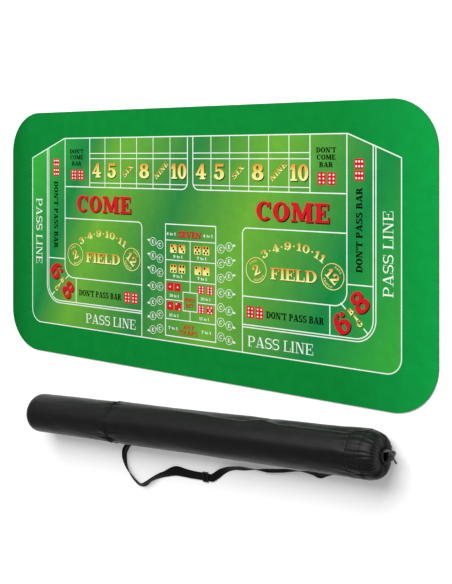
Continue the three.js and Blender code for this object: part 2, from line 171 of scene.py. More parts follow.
def banded(tree, bands, slant=0.0):
    """(x in millimetres, colour) bands that cross the mat and fade into each other. They lose slant of x for
    each unit of y."""
    where = node(tree, "ShaderNodeTexCoord", out="Object")
    x, y = [node(tree, "ShaderNodeSeparateXYZ", {0: where}, axis) for axis in "XY"]
    across = node(tree, "ShaderNodeMath", {0: y, 1: -slant, 2: x}, operation="MULTIPLY_ADD")
    first, last = bands[0][0], bands[-1][0]
    share = node(tree, "ShaderNodeMapRange", {0: across, 1: first * MM, 2: last * MM})
    stops = [((at - first) / (last - first), code) for at, code in bands]
    return jersey(tree, node(tree, "ShaderNodeValToRGB", {0: share}, stops=stops))


GROUND_BANDS = [
    (-890, "#39AE40"), (-644, "#1C8945"), (-462, "#6DB23A"), (-120, "#2E8742"),
    (212, "#6DB23A"), (616, "#198A45"), (927, "#39AE40"),
]
GROUND_SLANT = 0.456
# The border's own green, painted darker towards its -X end and lighter towards its +X end: painted shade and light.
BORDER_SHADE_AND_LIGHT_BANDS = [
    (-915, "#06702A"), (-800, "#0B8536"), (-600, "#0C8836"), (600, "#0C8836"), (780, "#0F9440"), (915, "#10A345"),
]
CLOTH_PATTERNS = {
    "white screen ink": lambda tree: jersey(tree, colour("#F6FBF4")),
    "black dye": lambda tree: jersey(tree, colour("#0C120C")),
    "red screen ink": lambda tree: jersey(tree, colour("#DC1929")),
    "black shadow dye": lambda tree: jersey(tree, colour("#120D0A")),
    "gold fade ink": gold_fade,
    "printed jersey ground": lambda tree: banded(tree, GROUND_BANDS, GROUND_SLANT),
    "green jersey border with painted shade and light": lambda tree: banded(tree, BORDER_SHADE_AND_LIGHT_BANDS),
}
WHITE, BLACK, RED, SHADOW, GOLD, GROUND, BORDER = [
    finish(name, pattern, Roughness=0.9, Specular_IOR_Level=0.04) for name, pattern in CLOTH_PATTERNS.items()
]


# Natural rubber sponge pressed on a waffle plate: dull black, a grid of 3 mm cells underneath.
def sponge(tree):
    feeds = speckled(tree, 60, 6, [(0.3, "#161616"), (0.75, "#242423")])
    cells = woven(tree, node(tree, "ShaderNodeTexCoord", out="Object"), 3 * MM, 3 * MM)
    feeds["Normal"] = node(tree, "ShaderNodeBump", {"Height": cells, "Distance": 0.4 * MM, "Strength": 0.8})
    return feeds


RUBBER = finish("natural rubber sponge, waffle pressed", sponge, Roughness=0.93, Specular_IOR_Level=0.3)


# ---- Shaping ----
def clear_selection():
    if bpy.context.object and bpy.context.object.mode != "OBJECT":
        bpy.ops.object.mode_set(mode="OBJECT")
    bpy.ops.object.select_all(action="DESELECT")


def sewn(name, points, faces, finishes, face_finish=None, uv=None, smooth=True):
    """A mesh piece from its points, in metres, and faces. uv gives one (u, v) for each point."""
    mesh = bpy.data.meshes.new(name)
    mesh.from_pydata([tuple(p) for p in points], [], faces)
    for material in finishes:
        mesh.materials.append(material)
    if face_finish:
        mesh.polygons.foreach_set("material_index", face_finish)
    mesh.polygons.foreach_set("use_smooth", [smooth] * len(mesh.polygons))
    if uv:
        layer = mesh.uv_layers.new(name="weave").data
        for loop in mesh.loops:
            layer[loop.index].uv = uv[loop.vertex_index]
    mesh.update()
    made = bpy.data.objects.new(name, mesh)
    bpy.context.scene.collection.objects.link(made)
    return made


def dress(piece, look):
    piece.data.materials.clear()
    piece.data.materials.append(look)


def run_of(points):
    """How far along a line each of its points lies."""
    return list(accumulate(map(math.dist, points, points[1:]), initial=0.0))


def belongs(piece, body, slot, *nodes):
    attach(piece, body)
    if nodes:
        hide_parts(*nodes)
    return piece


# ---- The bag's frame ----
BAG_TURN = math.radians(4.08)
BAG_FRAME = Matrix.Translation((-0.734, -0.674, 0)) @ Matrix.Rotation(BAG_TURN, 4, "Z") @ Matrix.Scale(MM, 4)
AXIS_HEIGHT = 71.5


def in_bag(point):
    """A point of the bag's frame, in millimetres, as one of the row frame, in metres."""
    return BAG_FRAME @ Vector(point)


# ---- The drawcord's two strands ----
# Polyester cord, braided, 3 mm. The real braid's plait is 1.5 mm long.
def braid(tree):
    plait = woven(tree, node(tree, "ShaderNodeTexCoord", out="UV"), 0.5, 0.5)
    return {
        # The low plaits are painted darker: painted shade between them.
        "Base Color": by_height(tree, plait, [(0.2, "#2A2A2B"), (0.8, "#77777A")]),
        "Normal": node(tree, "ShaderNodeBump", {"Height": plait, "Distance": 0.25 * MM, "Strength": 0.8}),
    }


BRAID = finish("polyester cord, braided", braid, Roughness=0.75, Sheen_Weight=0.15)

MOUTH_END = 1519
HEM_RADIUS = 18
EYELET_ANGLE = math.radians(20)
LOCK_CENTRE = Vector((1539, 3.5, 63))
CORD_WAY = Vector((0, -0.8, -0.6))  # through the lock
BUTTON_WAY = Vector((0, -0.6, 0.8))  # out of the barrel
CORD_RADIUS = 1.5
PLAITS_ROUND, PLAITS_TO_DIAMETER = 4, 1.4


def strand_route(side):
    """From the hem's eyelet in one soft bow, then straight through the lock to the knot."""
    spread = side * 2.8
    c, s = math.cos(EYELET_ANGLE), math.sin(EYELET_ANGLE)
    eyelet = Vector((
        MOUTH_END + CORD_RADIUS + 1.8, HEM_RADIUS * c - spread * s, AXIS_HEIGHT + HEM_RADIUS * s + spread * c,
    ))

    def at_lock(distance):
        return LOCK_CENTRE + CORD_WAY * distance + BUTTON_WAY * 2.2 + Vector((side * 1.9, 0, 0))

    straight, knot = at_lock(-17), at_lock(25.2)
    handles = eyelet, eyelet + Vector((12 + side * 3.4, 0, 0)), straight - CORD_WAY * 10, straight
    bow = []
    for i in range(24):
        t = i / 24
        shares = (1 - t) ** 3, 3 * t * (1 - t) ** 2, 3 * t * t * (1 - t), t**3
        bow.append(sum((h * s for h, s in zip(handles, shares)), Vector()))
    return bow + [straight.lerp(knot, i / 16) for i in range(17)]


def rope(name, route, radius, sides=12, look=BRAID):
    """A round cord along the route, in the bag's frame. Its UV map counts the plaits round and along it."""
    points, faces, uv = [], [], []
    side = Vector((0, 0, 1))
    for i, (at, run) in enumerate(zip(route, run_of(route))):
        before, after = route[max(i - 1, 0)], route[min(i + 1, len(route) - 1)]
        along = (after - before).normalized()
        side = (side - along * side.dot(along)).normalized()
        over = along.cross(side)
        for k in range(sides + 1):
            angle = math.tau * k / sides
            out = side * math.cos(angle) + over * math.sin(angle)
            if k < sides:
                points.append(in_bag(at + out * radius))
            uv.append((PLAITS_ROUND * k / sides, PLAITS_TO_DIAMETER * run / (2 * radius)))
    for i in range(len(route) - 1):
        for k in range(sides):
            a, b = i * sides + k, i * sides + (k + 1) % sides
            faces.append((a, b, b + sides, a + sides))
    faces.append(tuple(range(sides))[::-1])
    faces.append(tuple(range((len(route) - 1) * sides, len(route) * sides)))
    made = sewn(name, points, faces, [look])
    layer = made.data.uv_layers.new(name="plait").data
    for face in made.data.polygons:
        corners = [made.data.loops[i] for i in face.loop_indices]
        seam = len(corners) == 4 and {c.vertex_index % sides for c in corners} == {0, sides - 1}
        for corner in corners:
            ring, k = divmod(corner.vertex_index, sides)
            layer[corner.index].uv = uv[ring * (sides + 1) + (sides if seam and k == 0 else k)]
    return made


strands = []
for side, word in ((1, "upper"), (-1, "lower")):
    route = strand_route(side)
    strand = rope(f"drawcord_{word}_braid", route, CORD_RADIUS)
    belongs(strand, "bag", "drawcord", f"drawcord_{word}_strand")
    strands.append((strand, route))


# ---- The print ----
# A letter is drawn on a body 100 high: thick uprights, thin cross strokes and flat slab feet.
def bar(x0, y0, x1, y1):
    return [(x0, y0), (x1, y0), (x1, y1), (x0, y1)]


def leg(x0, y0, x1, y1, wide):
    """A slanting stroke from foot to head, wide along the line."""
    half = wide / 2
    return [(x0 - half, y0), (x0 + half, y0), (x1 + half, y1), (x1 - half, y1)]


def bowl(x, y, out_x, out_y, wide=24, thin=12, start=0, end=360):
    """Part of an oval ring, in pieces, from start to end in degrees."""
    count = max(4, round(abs(end - start) / 15))
    turns = [math.radians(start + (end - start) * i / count) for i in range(count + 1)]
    outer = [(x + out_x * math.cos(a), y + out_y * math.sin(a)) for a in turns]
    inner = [(x + (out_x - wide) * math.cos(a), y + (out_y - thin) * math.sin(a)) for a in turns]
    return [[inner[i], outer[i], outer[i + 1], inner[i + 1]] for i in range(count)]


def ball(x, y, radius, count=14):
    turns = [2 * math.pi * i / count for i in range(count)]
    return [(x + radius * math.cos(a), y + radius * math.sin(a)) for a in turns]


def alphabet(stem, thin, slab):
    """The signs at one weight: widths of the uprights, the cross strokes and the slab feet."""

    def feet(*spans, low=True, high=True):
        return [bar(a, y, b, y + slab) for a, b in spans for y, drawn in ((0, low), (100 - slab, high)) if drawn]

    def ring(x, y, out_x, out_y, start=0, end=360, wide=stem + 1):
        return bowl(x, y, out_x, out_y, wide, thin, start, end)

    left, top, edge = bar(9, 0, 9 + stem, 100), 100 - thin, slab - 1
    six = [*ring(42, 32, 41, 33), *bowl(52, 44, 51, 57, stem + 1, thin + 2, 84, 208), ball(72, 80, 13)]
    return {
        "A": (104, [
            leg(16, 0, 50, 100, thin), leg(86, 0, 52, 100, stem + 2), bar(28, 24, 76, 24 + thin),
            *feet((0, 36), (60, 104), high=False),
        ]),
        "B": (88, [
            left, bar(0, 0, 50, thin), bar(0, top, 48, 100), bar(30, 46, 50, 46 + thin),
            *ring(46, 73, 34, 27, -90, 90), *ring(48, 29, 39, 29, -90, 90),
        ]),
        "C": (92, [*ring(48, 50, 48, 51, 38, 318), bar(86 - edge, 64, 86, 100)]),
        "D": (96, [left, bar(0, 0, 46, thin), bar(0, top, 46, 100), *ring(44, 50, 51, 50, -90, 90)]),
        "E": (84, [
            left, bar(0, top, 78, 100), bar(0, 0, 82, thin), bar(30, 45, 56, 45 + thin), bar(58 - edge, 34, 58, 68),
            bar(78 - edge, 68, 78, 100), bar(82 - edge, 0, 82, 34),
        ]),
        "F": (80, [
            left, bar(0, top, 78, 100), bar(0, 0, 46, slab), bar(30, 45, 56, 45 + thin), bar(58 - edge, 34, 58, 68),
            bar(78 - edge, 66, 78, 100),
        ]),
        "G": (100, [
            *ring(48, 50, 48, 51, 42, 330), bar(86 - edge, 66, 86, 100), bar(90 - stem, 8, 90, 44),
            bar(56, 46 - slab, 98, 46),
        ]),
        "H": (102, [left, bar(93 - stem, 0, 93, 100), bar(30, 45, 72, 45 + thin), *feet((0, 42), (60, 102))]),
        "I": (42, [left, *feet((0, 18 + stem))]),
        "L": (80, [left, bar(0, 100 - slab, 44, 100), bar(0, 0, 78, thin), bar(78 - edge, 0, 78, 38)]),
        "M": (128, [
            bar(12, 0, 12 + thin, 100), bar(118 - stem, 0, 118, 100), leg(64, 8, 24, 100, stem + 1),
            leg(62, 8, 98, 100, thin + 3), *feet((0, 36), (84, 128), high=False), bar(0, 100 - slab, 32, 100),
            bar(90, 100 - slab, 128, 100),
        ]),
        "N": (106, [
            bar(12, 0, 12 + thin, 100), bar(80, 0, 80 + thin, 100), leg(80, 0, 24, 100, stem + 2),
            bar(0, 0, 36, slab), bar(0, 100 - slab, 30, 100), bar(66, 100 - slab, 106, 100),
        ]),
        "O": (98, [*ring(49, 50, 49, 51, wide=stem + 3)]),
        "P": (86, [
            left, bar(0, 0, 46, slab), bar(0, top, 48, 100), bar(30, 43, 48, 43 + thin),
            *ring(46, 71, 38, 29, -90, 90),
        ]),
        "R": (98, [
            left, bar(0, 0, 44, slab), bar(0, top, 48, 100), bar(30, 45, 50, 45 + thin),
            *ring(46, 73, 37, 27, -90, 90), leg(80, 0, 54, 50, stem + 2), bar(66, 0, 98, slab),
        ]),
        "S": (80, [
            *bowl(39, 73, 36, 28, stem - 1, thin + 3, 40, 272), *bowl(41, 28, 38, 29, stem - 1, thin + 3, 220, 452),
            bar(74 - edge, 68, 74, 101), bar(4, -1, 4 + edge, 33),
        ]),
        "T": (90, [
            bar(45 - stem / 2, 0, 45 + stem / 2, 100), bar(0, top, 90, 100), bar(0, 64, edge, 100),
            bar(90 - edge, 64, 90, 100), bar(21, 0, 69, slab),
        ]),
        "U": (100, [
            bar(10, 30, 10 + stem, 100), bar(86 - thin, 30, 86, 100), *bowl(48, 32, 38, 33, stem, thin, 180, 360),
            *feet((0, 44), (64, 98), low=False),
        ]),
        "V": (102, [leg(50, 0, 16, 100, stem + 2), leg(52, 0, 86, 100, thin), *feet((0, 40), (68, 104), low=False)]),
        "X": (102, [
            leg(82, 0, 20, 100, stem + 3), leg(18, 0, 84, 100, thin), *feet((0, 38), (62, 104), high=False),
            *feet((2, 42), (66, 102), low=False),
        ]),
        "Y": (100, [
            leg(48, 42, 18, 100, stem + 2), leg(50, 42, 84, 100, thin), bar(49 - stem / 2, 0, 49 + stem / 2, 46),
            bar(24, 0, 74, slab), *feet((0, 40), (66, 100), low=False),
        ]),
        "t": (48, [bar(12, 8, 12 + stem, 86), bar(0, 56, 46, 56 + thin), bar(16, 0, 46, thin)]),
        "o": (66, [*bowl(32, 33, 33, 34, stem - 4, thin)]),
        "'": (26, [bar(13 - stem / 3, 66, 13 + stem / 3, 100)]),
        ".": (46, [ball(23, 48, 11)]),
        " ": (38, []),
        "0": (86, [*ring(43, 50, 43, 51)]),
        "1": (60, [bar(31 - stem / 2, 0, 31 + stem / 2, 100), bar(3, 0, 59, slab), leg(8, 66, 28, 100, stem - 6)]),
        "2": (82, [
            *ring(40, 70, 38, 31, -38, 168), leg(14, 8, 60, 60, stem + 6), bar(2, 0, 80, thin + 5),
            bar(80 - edge, 0, 80, 36), ball(15, 70, 13),
        ]),
        "3": (82, [
            *ring(38, 74, 35, 27, -90, 150), *ring(38, 29, 41, 30, -150, 90), ball(16, 80, 12), ball(13, 22, 13),
        ]),
        "4": (88, [
            leg(8, 26, 54, 100, thin + 3), bar(0, 24, 88, 24 + thin), bar(70 - stem, 0, 70, 100),
            bar(34, 0, 82, slab),
        ]),
        "5": (82, [
            bar(12, 96 - thin, 76, 100), bar(12, 48, 12 + thin, 100), *ring(38, 33, 41, 34, -150, 128),
            ball(13, 22, 13),
        ]),
        "6": (86, six),
        "7": (82, [bar(2, 96 - thin, 80, 100), bar(2, 62, 2 + edge, 100), leg(34, 0, 66, 88, stem + 3)]),
        "8": (84, [*bowl(42, 75, 35, 26, stem - 3, thin), *bowl(42, 29, 41, 30, stem, thin + 1)]),
        "9": (86, [[(86 - x, 100 - y) for x, y in part] for part in six]),
    }


WEIGHTS = {"book": alphabet(15, 6, 5), "bold": alphabet(23, 11, 9), "heavy": alphabet(28, 13, 11)}


def one_outline(parts):
    """Joins overlapping flat shapes, so that no two lie on each other: (points, triangles)."""
    points, faces = [], []
    for part in parts:
        area = sum(a[0] * b[1] - b[0] * a[1] for a, b in zip(part, part[1:] + part[:1]))
        ring = range(len(points), len(points) + len(part))
        points += [Vector(p) for p in part]
        faces.append(list(ring) if area > 0 else list(ring)[::-1])
    made, _, triangles, _, _, owners = delaunay_2d_cdt(points, [], faces, 0, 1e-5)
    return [tuple(p) for p in made], [t for t, owner in zip(triangles, owners) if owner]


letter_shapes = {}


def letter_shape(sign, weight):
    if (sign, weight) not in letter_shapes:
        width, parts = WEIGHTS[weight][sign]
        letter_shapes[sign, weight] = width, *one_outline(parts)
    return letter_shapes[sign, weight]


def natural_width(text, gap):
    """Bold widths serve for every weight."""
    return sum(WEIGHTS["bold"][sign][0] + gap for sign in text) - gap


class Film:
    """One ink on the cloth: closed flat shapes, a little proud of it."""

    def __init__(self, height):
        self.height = height
        self.points, self.faces, self.uv = [], [], []

    def lay(self, points, triangles, rise=None):
        """points in millimetres on the mat. rise gives each one's place from foot, 0, to head, 1."""
        base, count = len(self.points), len(points)
        for height in (CLOTH_TOP - SHADOW_LIFT, self.height):
            self.points += [(x * MM, y * MM, height * MM) for x, y in points]
            self.uv += [(0.5, v) for v in (rise or [0.5] * count)]
        edges = {}
        for a, b, c in triangles:
            (ax, ay), (bx, by), (cx, cy) = points[a], points[b], points[c]
            if (bx - ax) * (cy - ay) - (cx - ax) * (by - ay) < 0:
                b, c = c, b
            self.faces.append((base + count + a, base + count + b, base + count + c))
            self.faces.append((base + a, base + c, base + b))
            for edge in ((a, b), (b, c), (c, a)):
                edges[edge] = True
        for a, b in edges:
            if (b, a) not in edges:
                self.faces.append((base + a, base + b, base + count + b, base + count + a))

    def piece(self, name, finish):
        return sewn(name, self.points, self.faces, [finish], uv=self.uv, smooth=False)


CLOTH_TOP = 3.8
SHADOW_LIFT, INK_LIFT, PIP_LIFT = 0.05, 0.12, 0.19  # so that no ink lies level with one that it covers
films = {"shadow": Film(CLOTH_TOP + SHADOW_LIFT)}
films.update({name: Film(CLOTH_TOP + INK_LIFT) for name in ("white", "black", "red", "gold")})
films.update({name: Film(CLOTH_TOP + PIP_LIFT) for name in ("pip", "white_pip")})


def stamp(film, points, triangles, at, turn=0, size=(1, 1), shadow=0, rise=None):
    """Lays a flat shape with its origin at a place on the mat, turned by degrees."""
    c, s = math.cos(math.radians(turn)), math.sin(math.radians(turn))
    laid = []
    for x, y in points:
        x, y = x * size[0], y * size[1]
        laid.append((at[0] + x * c - y * s, at[1] + x * s + y * c))
    if shadow:
        films["shadow"].lay([(x + shadow, y - shadow) for x, y in laid], triangles)
    films[film].lay(laid, triangles, rise)


def word(film, text, at, width, cap, turn=0, shadow=0, weight="bold", gap=7):
    """Text with its middle at a place on the mat, as wide and as high as it says."""
    natural = natural_width(text, gap)
    size = width / natural, cap / 100
    c, s = math.cos(math.radians(turn)), math.sin(math.radians(turn))
    pen = -natural / 2
    for sign in text:
        advance, points, triangles = letter_shape(sign, weight)
        if triangles:
            x, y = pen * size[0], -cap / 2
            start = at[0] + x * c - y * s, at[1] + x * s + y * c
            rise = [min(max(y / 100, 0), 1) for _, y in points]
            stamp(film, points, triangles, start, turn, size, shadow, rise)
        pen += advance + gap


def round_word(film, text, centre, radius, cap, width, middle=90, outward=True, gap=12):
    """Text along an arc. middle is the arc's middle in degrees, and width the length of the text on it."""
    natural = natural_width(text, gap)
    size = width / natural, cap / 100
    way = 1 if outward else -1
    pen = -natural / 2
    for sign in text:
        advance, points, triangles = letter_shape(sign, "bold")
        angle = middle - way * math.degrees((pen + advance / 2) * size[0] / radius)
        turn = angle - 90 if outward else angle + 90
        a, b = math.radians(angle), math.radians(turn)
        x, y = centre[0] + radius * math.cos(a), centre[1] + radius * math.sin(a)
        left, down = advance / 2 * size[0], cap / 2
        start = x - left * math.cos(b) + down * math.sin(b), y - left * math.sin(b) - down * math.cos(b)
        if triangles:
            stamp(film, points, triangles, start, turn, size, rise=[min(max(y / 100, 0), 1) for _, y in points])
        pen += advance + gap


def softened(corners, closed=False):
    """Corners as (x, y, radius) made a line of points, each corner rounded."""
    line, count = [], len(corners)
    for i, (x, y, radius) in enumerate(corners):
        here = Vector((x, y))
        if not radius or (not closed and i in (0, count - 1)):
            line.append((x, y))
            continue
        before = (Vector(corners[i - 1][:2]) - here).normalized()
        after = (Vector(corners[(i + 1) % count][:2]) - here).normalized()
        half = before.angle(after) / 2
        reach = radius / math.tan(half)
        centre = here + (before + after).normalized() * radius / math.sin(half)
        first, last = here + before * reach - centre, here + after * reach - centre
        sweep = first.angle_signed(last)
        steps = max(3, round(radius / 4))
        for k in range(steps + 1):
            turn = -sweep * k / steps
            c, s = math.cos(turn), math.sin(turn)
            line.append((centre.x + first.x * c - first.y * s, centre.y + first.x * s + first.y * c))
    return line


def round_cornered(half_x, half_y, corner):
    """A rectangle about the origin."""
    signs = ((-1, -1), (1, -1), (1, 1), (-1, 1))
    return softened([(x * half_x, y * half_y, corner) for x, y in signs], closed=True)


def stroke(line, wide, closed=False):
    """A line drawn wide: one four-sided piece for each stretch, mitred where they meet."""
    count = len(line)
    sides = []
    for i, at in enumerate(line):
        here = Vector(at)
        ways = []
        if closed or i:
            ways.append((here - Vector(line[i - 1])).normalized())
        if closed or i < count - 1:
            ways.append((Vector(line[(i + 1) % count]) - here).normalized())
        way = sum(ways, Vector((0, 0))).normalized()
        across = Vector((-way.y, way.x))
        across *= wide / 2 / max(across.dot(Vector((-ways[0].y, ways[0].x))), 0.4)
        sides.append((tuple(here - across), tuple(here + across)))
    stretches = range(count if closed else count - 1)
    return [[sides[i][0], sides[(i + 1) % count][0], sides[(i + 1) % count][1], sides[i][1]] for i in stretches]


LINE, FINE_LINE = 3.6, 2.8  # widths of the layout's white lines


def mirrored(parts):
    return [[(-x, y) for x, y in part] for part in parts]


OUTER_LINE = softened(
    [(-798, -347, 50), (798, -347, 50), (798, 284, 0), (618, 357, 0), (-618, 357, 0), (-798, 284, 0)], closed=True
)


def layout_lines():
    """Every white line, as flat parts that may overlap. The two halves are mirror images."""
    parts = stroke(OUTER_LINE, LINE, closed=True)
    half = [
        ([(714, 318, 0), (714, -264, 70), (222, -264, 0)], LINE),
        ([(705, 321, 0), (705, -256, 61), (222, -256, 0)], LINE),
        ([(615, 357, 0), (615, -164, 45), (222, -164, 0)], LINE),
        ([(615, -96, 0), (705, -96, 0)], LINE),
        ([(483, 357, 0), (483, 176, 0)], LINE),
        ([(12, 300, 0), (483, 300, 0)], FINE_LINE),
        ([(12, 281, 0), (483, 281, 0)], FINE_LINE),
        ([(12, 192, 0), (483, 192, 0)], FINE_LINE),
        ([(12, 357, 0), (12, 176, 25), (615, 176, 0)], LINE),
        ([(615, 57, 0), (222, 57, 18), (222, -347, 0)], LINE),
        ([(555, -164, 0), (555, -256, 0)], LINE),
        ([(592.5, -154, 0), (611.5, -171, 0)], LINE),
        ([(672.5, -223, 0), (686.5, -237, 0)], LINE),
    ]
    half += [([(12 + 78.5 * i, 357, 0), (12 + 78.5 * i, 176, 0)], FINE_LINE) for i in range(1, 6)]
    for corners, wide in half:
        drawn = stroke(softened(corners), wide)
        parts += drawn + mirrored(drawn)
    parts += stroke([(-111, 56), (111, 56), (111, -328), (-111, -328)], LINE, closed=True)
    centre = [[(-111, y), (111, y)] for y in (1, -67, -136, -270)]
    centre += [
        [(-111, -204), (-31.5, -204)], [(31.5, -204), (111, -204)], [(0, 1), (0, -173)], [(0, -236), (0, -270)],
    ]
    for line in centre:
        parts += stroke(line, FINE_LINE)
    parts += stroke([(-31.5, -173), (31.5, -173), (31.5, -236), (-31.5, -236)], FINE_LINE, closed=True)
    return parts


def circle(film, centre, radius, wide, shadow=0):
    count = max(20, round(radius * 1.1))
    ring = [(centre[0] + x, centre[1] + y) for x, y in ball(0, 0, radius, count)]
    points, triangles = one_outline(stroke(ring, wide, closed=True))
    low, high = centre[1] - radius, centre[1] + radius
    rise = [0.45 * (y - low) / (high - low) for _, y in points]
    stamp(film, points, triangles, (0, 0), shadow=shadow, rise=rise)


DIE_PIPS = {
    1: [(0, 0)],
    2: [(-1, 1), (1, -1)],
    3: [(-1, 1), (0, 0), (1, -1)],
    4: [(-1, 1), (1, 1), (-1, -1), (1, -1)],
    5: [(-1, 1), (1, 1), (0, 0), (-1, -1), (1, -1)],
    6: [(-1, 1), (0, 1), (1, 1), (-1, -1), (0, -1), (1, -1)],
}


def die(film, spots, at, size, upright=True):
    """A printed die's face, size wide and high. upright sets a six's two rows of three on end."""
    wide, high = size[0] / 2, size[1] / 2
    points, triangles = one_outline([round_cornered(wide, high, wide / 4)])
    stamp(film, points, triangles, at, rise=[(y + high) / size[1] for _, y in points])
    pip_film, pip = ("pip", 0.14) if film == "gold" else ("white_pip", 0.105)
    for x, y in DIE_PIPS[spots]:
        if upright:
            x, y = y, x
        across, up = (0.23, 0.3) if upright else (0.3, 0.23)
        centre = at[0] + x * size[0] * across, at[1] + y * size[1] * up
        stamp(pip_film, *one_outline([ball(0, 0, min(size) * pip, 12)]), centre)


def print_words():
    for side in (-1, 1):
        word("red", "COME", (side * 414 + 1.5, 114.5), 277, 61, shadow=3.5, weight="heavy", gap=8)
        word("gold", "FIELD", (418 * side + 3, -83), 174, 37, shadow=2, gap=4)
        round_word("gold", "3.4.9.10.11", (side * 418, -200), 208, 25, 252)
    for text, left, right, wide in (
        ("4", -447, 47.5, 45), ("5", -370, 125.5, 44), ("8", -211, 283, 48), ("10", -51, 443, 69),
    ):
        for x in (left, right):
            word("gold", text, (x, 238), wide, 52, shadow=3, weight="heavy")
    for x in (-290, 203.5):
        word("gold", "SIX", (x, 238), 58, 18, 43, shadow=1.5, gap=12)
    for x in (-131, 363.5):
        word("gold", "NINE", (x, 240), 76, 18, 43, shadow=1.5, gap=12)
    for field in (-415, 421):
        for text, x, tilt, wide, lower in (
            ("2", field - 144, 25, 27, "DOUBLE"), ("12", field + 144, -42, 48, "TRIPLE"),
        ):
            circle("gold", (x, -77), 40, 2.6, shadow=1.2)
            word("gold", text, (x, -76), wide, 32, tilt, shadow=1.5)
            round_word("gold", "PAYS", (x, -77), 31, 7, 30, 90 + tilt)
            round_word("gold", lower, (x, -77), 31, 7, 44, 270 + tilt, outward=False)
    for x, y, turn in ((-377, -307.5, 0), (369.5, -307.5, 0), (-759.5, 3, -90), (754.5, 3, 90)):
        word("white", "PASS LINE", (x, y), 251, 34, turn, weight="book", gap=5)
    for x, y, turn, wide in (
        (-664.5, 68.5, -90, 253), (657.5, 68.5, 90, 253), (-431, -216, 0, 217), (425.5, -216, 0, 217),
    ):
        word("black", "DON'T PASS BAR", (x, y), wide, 22, turn, weight="heavy", gap=4)
    for x in (-552.5, 541.5):
        for text, wide, y in (("DON'T", 72, 308), ("COME", 68, 286), ("BAR", 50, 263)):
            word("black", text, (x, y), wide, 16, weight="heavy", gap=4)


def print_corner_bets():
    """BIG 6 and 8 in the two lower corners, set on the slant."""
    for digit, x, y, turn in (
        ("6", -662.5, -143, -40), ("8", -598.5, -211, -40), ("8", 658.5, -146, 40), ("6", 596.5, -215, 40),
    ):
        word("red", digit, (x, y), 56, 66, turn, shadow=3, weight="heavy")
    for side, turn in ((-1, -45), (1, 45)):
        for sign, x, y, wide in (("B", 628, -177, 18), ("I", 645, -194, 10), ("G", 659, -210, 19)):
            word("gold", sign, (side * x, y), wide, 19, turn, shadow=1.5, weight="heavy")


WIDE_DIE, TALL_DIE, SQUARE_DIE = (33, 31), (30, 39), (29, 29)


def print_dice():
    for x in (-663.5, 657.5):
        for y in (266, 230.5):
            die("red", 6, (x, y), WIDE_DIE, upright=False)
    for x in (-293, -257, 254, 290):
        die("red", 6, (x, -214), TALL_DIE)
    for x in (-567, -531, 525, 561):
        die("red", 6, (x, 220.5), TALL_DIE)
    centre_dice = [
        ("gold", 3, 3, -75, -36.5, -27, "9 to 1", -54.5, -54),
        ("gold", 5, 5, 31.5, 69, -27, "7 to 1", 50.5, -54),
        ("gold", 4, 4, -75, -36.5, -95.5, "9 to 1", -55.5, -121),
        ("gold", 2, 2, 34, 69.5, -95.5, "7 to 1", 52.5, -122),
        ("red", 1, 1, -89.5, -56, -159, "30 to 1", -71.5, -189),
        ("red", 6, 6, 48, 85.5, -159, "30 to 1", 67.5, -189),
        ("red", 1, 2, -90, -54.5, -225, "15 to 1", -72.5, -256),
        ("red", 6, 5, 48.5, 85.5, -225, "15 to 1", 61.5, -256),
    ]
    for film, one, other, x, next_x, y, odds, odds_x, odds_y in centre_dice:
        die(film, one, (x, y), SQUARE_DIE)
        die(film, other, (next_x, y), SQUARE_DIE)
        word("white", odds, (odds_x, odds_y), 42, 10)


def print_centre():
    word("white", "4 to 1", (-85.5, 23), 42, 10)
    word("white", "4 to 1", (77.5, 23), 42, 10)
    word("red", "SEVEN", (-4, 23), 102, 21, shadow=1.2, weight="heavy", gap=4)
    word("red", "HORN", (-2.5, -197), 46, 13, shadow=0.8)
    word("red", "BET", (-2.5, -217), 34, 13, shadow=0.8)
    word("red", "ANY", (-6.5, -290), 50, 15, shadow=0.8)
    word("red", "CRAPS", (-7.5, -310), 80, 15, shadow=0.8)
    for x in (-76.5, 70.5):
        word("white", "7 to 1", (x, -300), 42, 10)


RING_ROOM, POINTER_LINE = 15, 2.4  # from a ring's middle to its pointer, and the pointer's width


def print_craps_eleven():
    """The column of C and E rings beside each side of the centre box, with a pointer out of each pair."""
    for row in range(7):
        y = -17 - 48.4 * row
        step = 9 if row < 3 else 0 if row == 3 else -8
        for side, c, e, tip in ((1, 132.5, 167, 195), (-1, 136.5, 169.5, 197)):
            circle("white", (side * c, y), 14, 1.7)
            circle("white", (side * e, y + step), 14, 1.7)
            word("white", "C", (side * c, y), 12, 13)
            word("white", "E", (side * e, y + step), 11, 13)
            way = Vector((side * (e - c), step)).normalized()
            c_ring, e_ring = Vector((side * c, y)), Vector((side * e, y + step))
            point = Vector((side * tip, y + step * 1.75))
            wing = Vector((-way.y, way.x)) * 5
            base = point - way * 11
            shaft = stroke([e_ring + way * RING_ROOM, base + way], POINTER_LINE)
            link = stroke([c_ring + way * RING_ROOM, e_ring - way * RING_ROOM], POINTER_LINE)
            films["white"].lay(*one_outline([[tuple(base - wing), tuple(base + wing), tuple(point)], *shaft]))
            films["white"].lay(*one_outline(link))


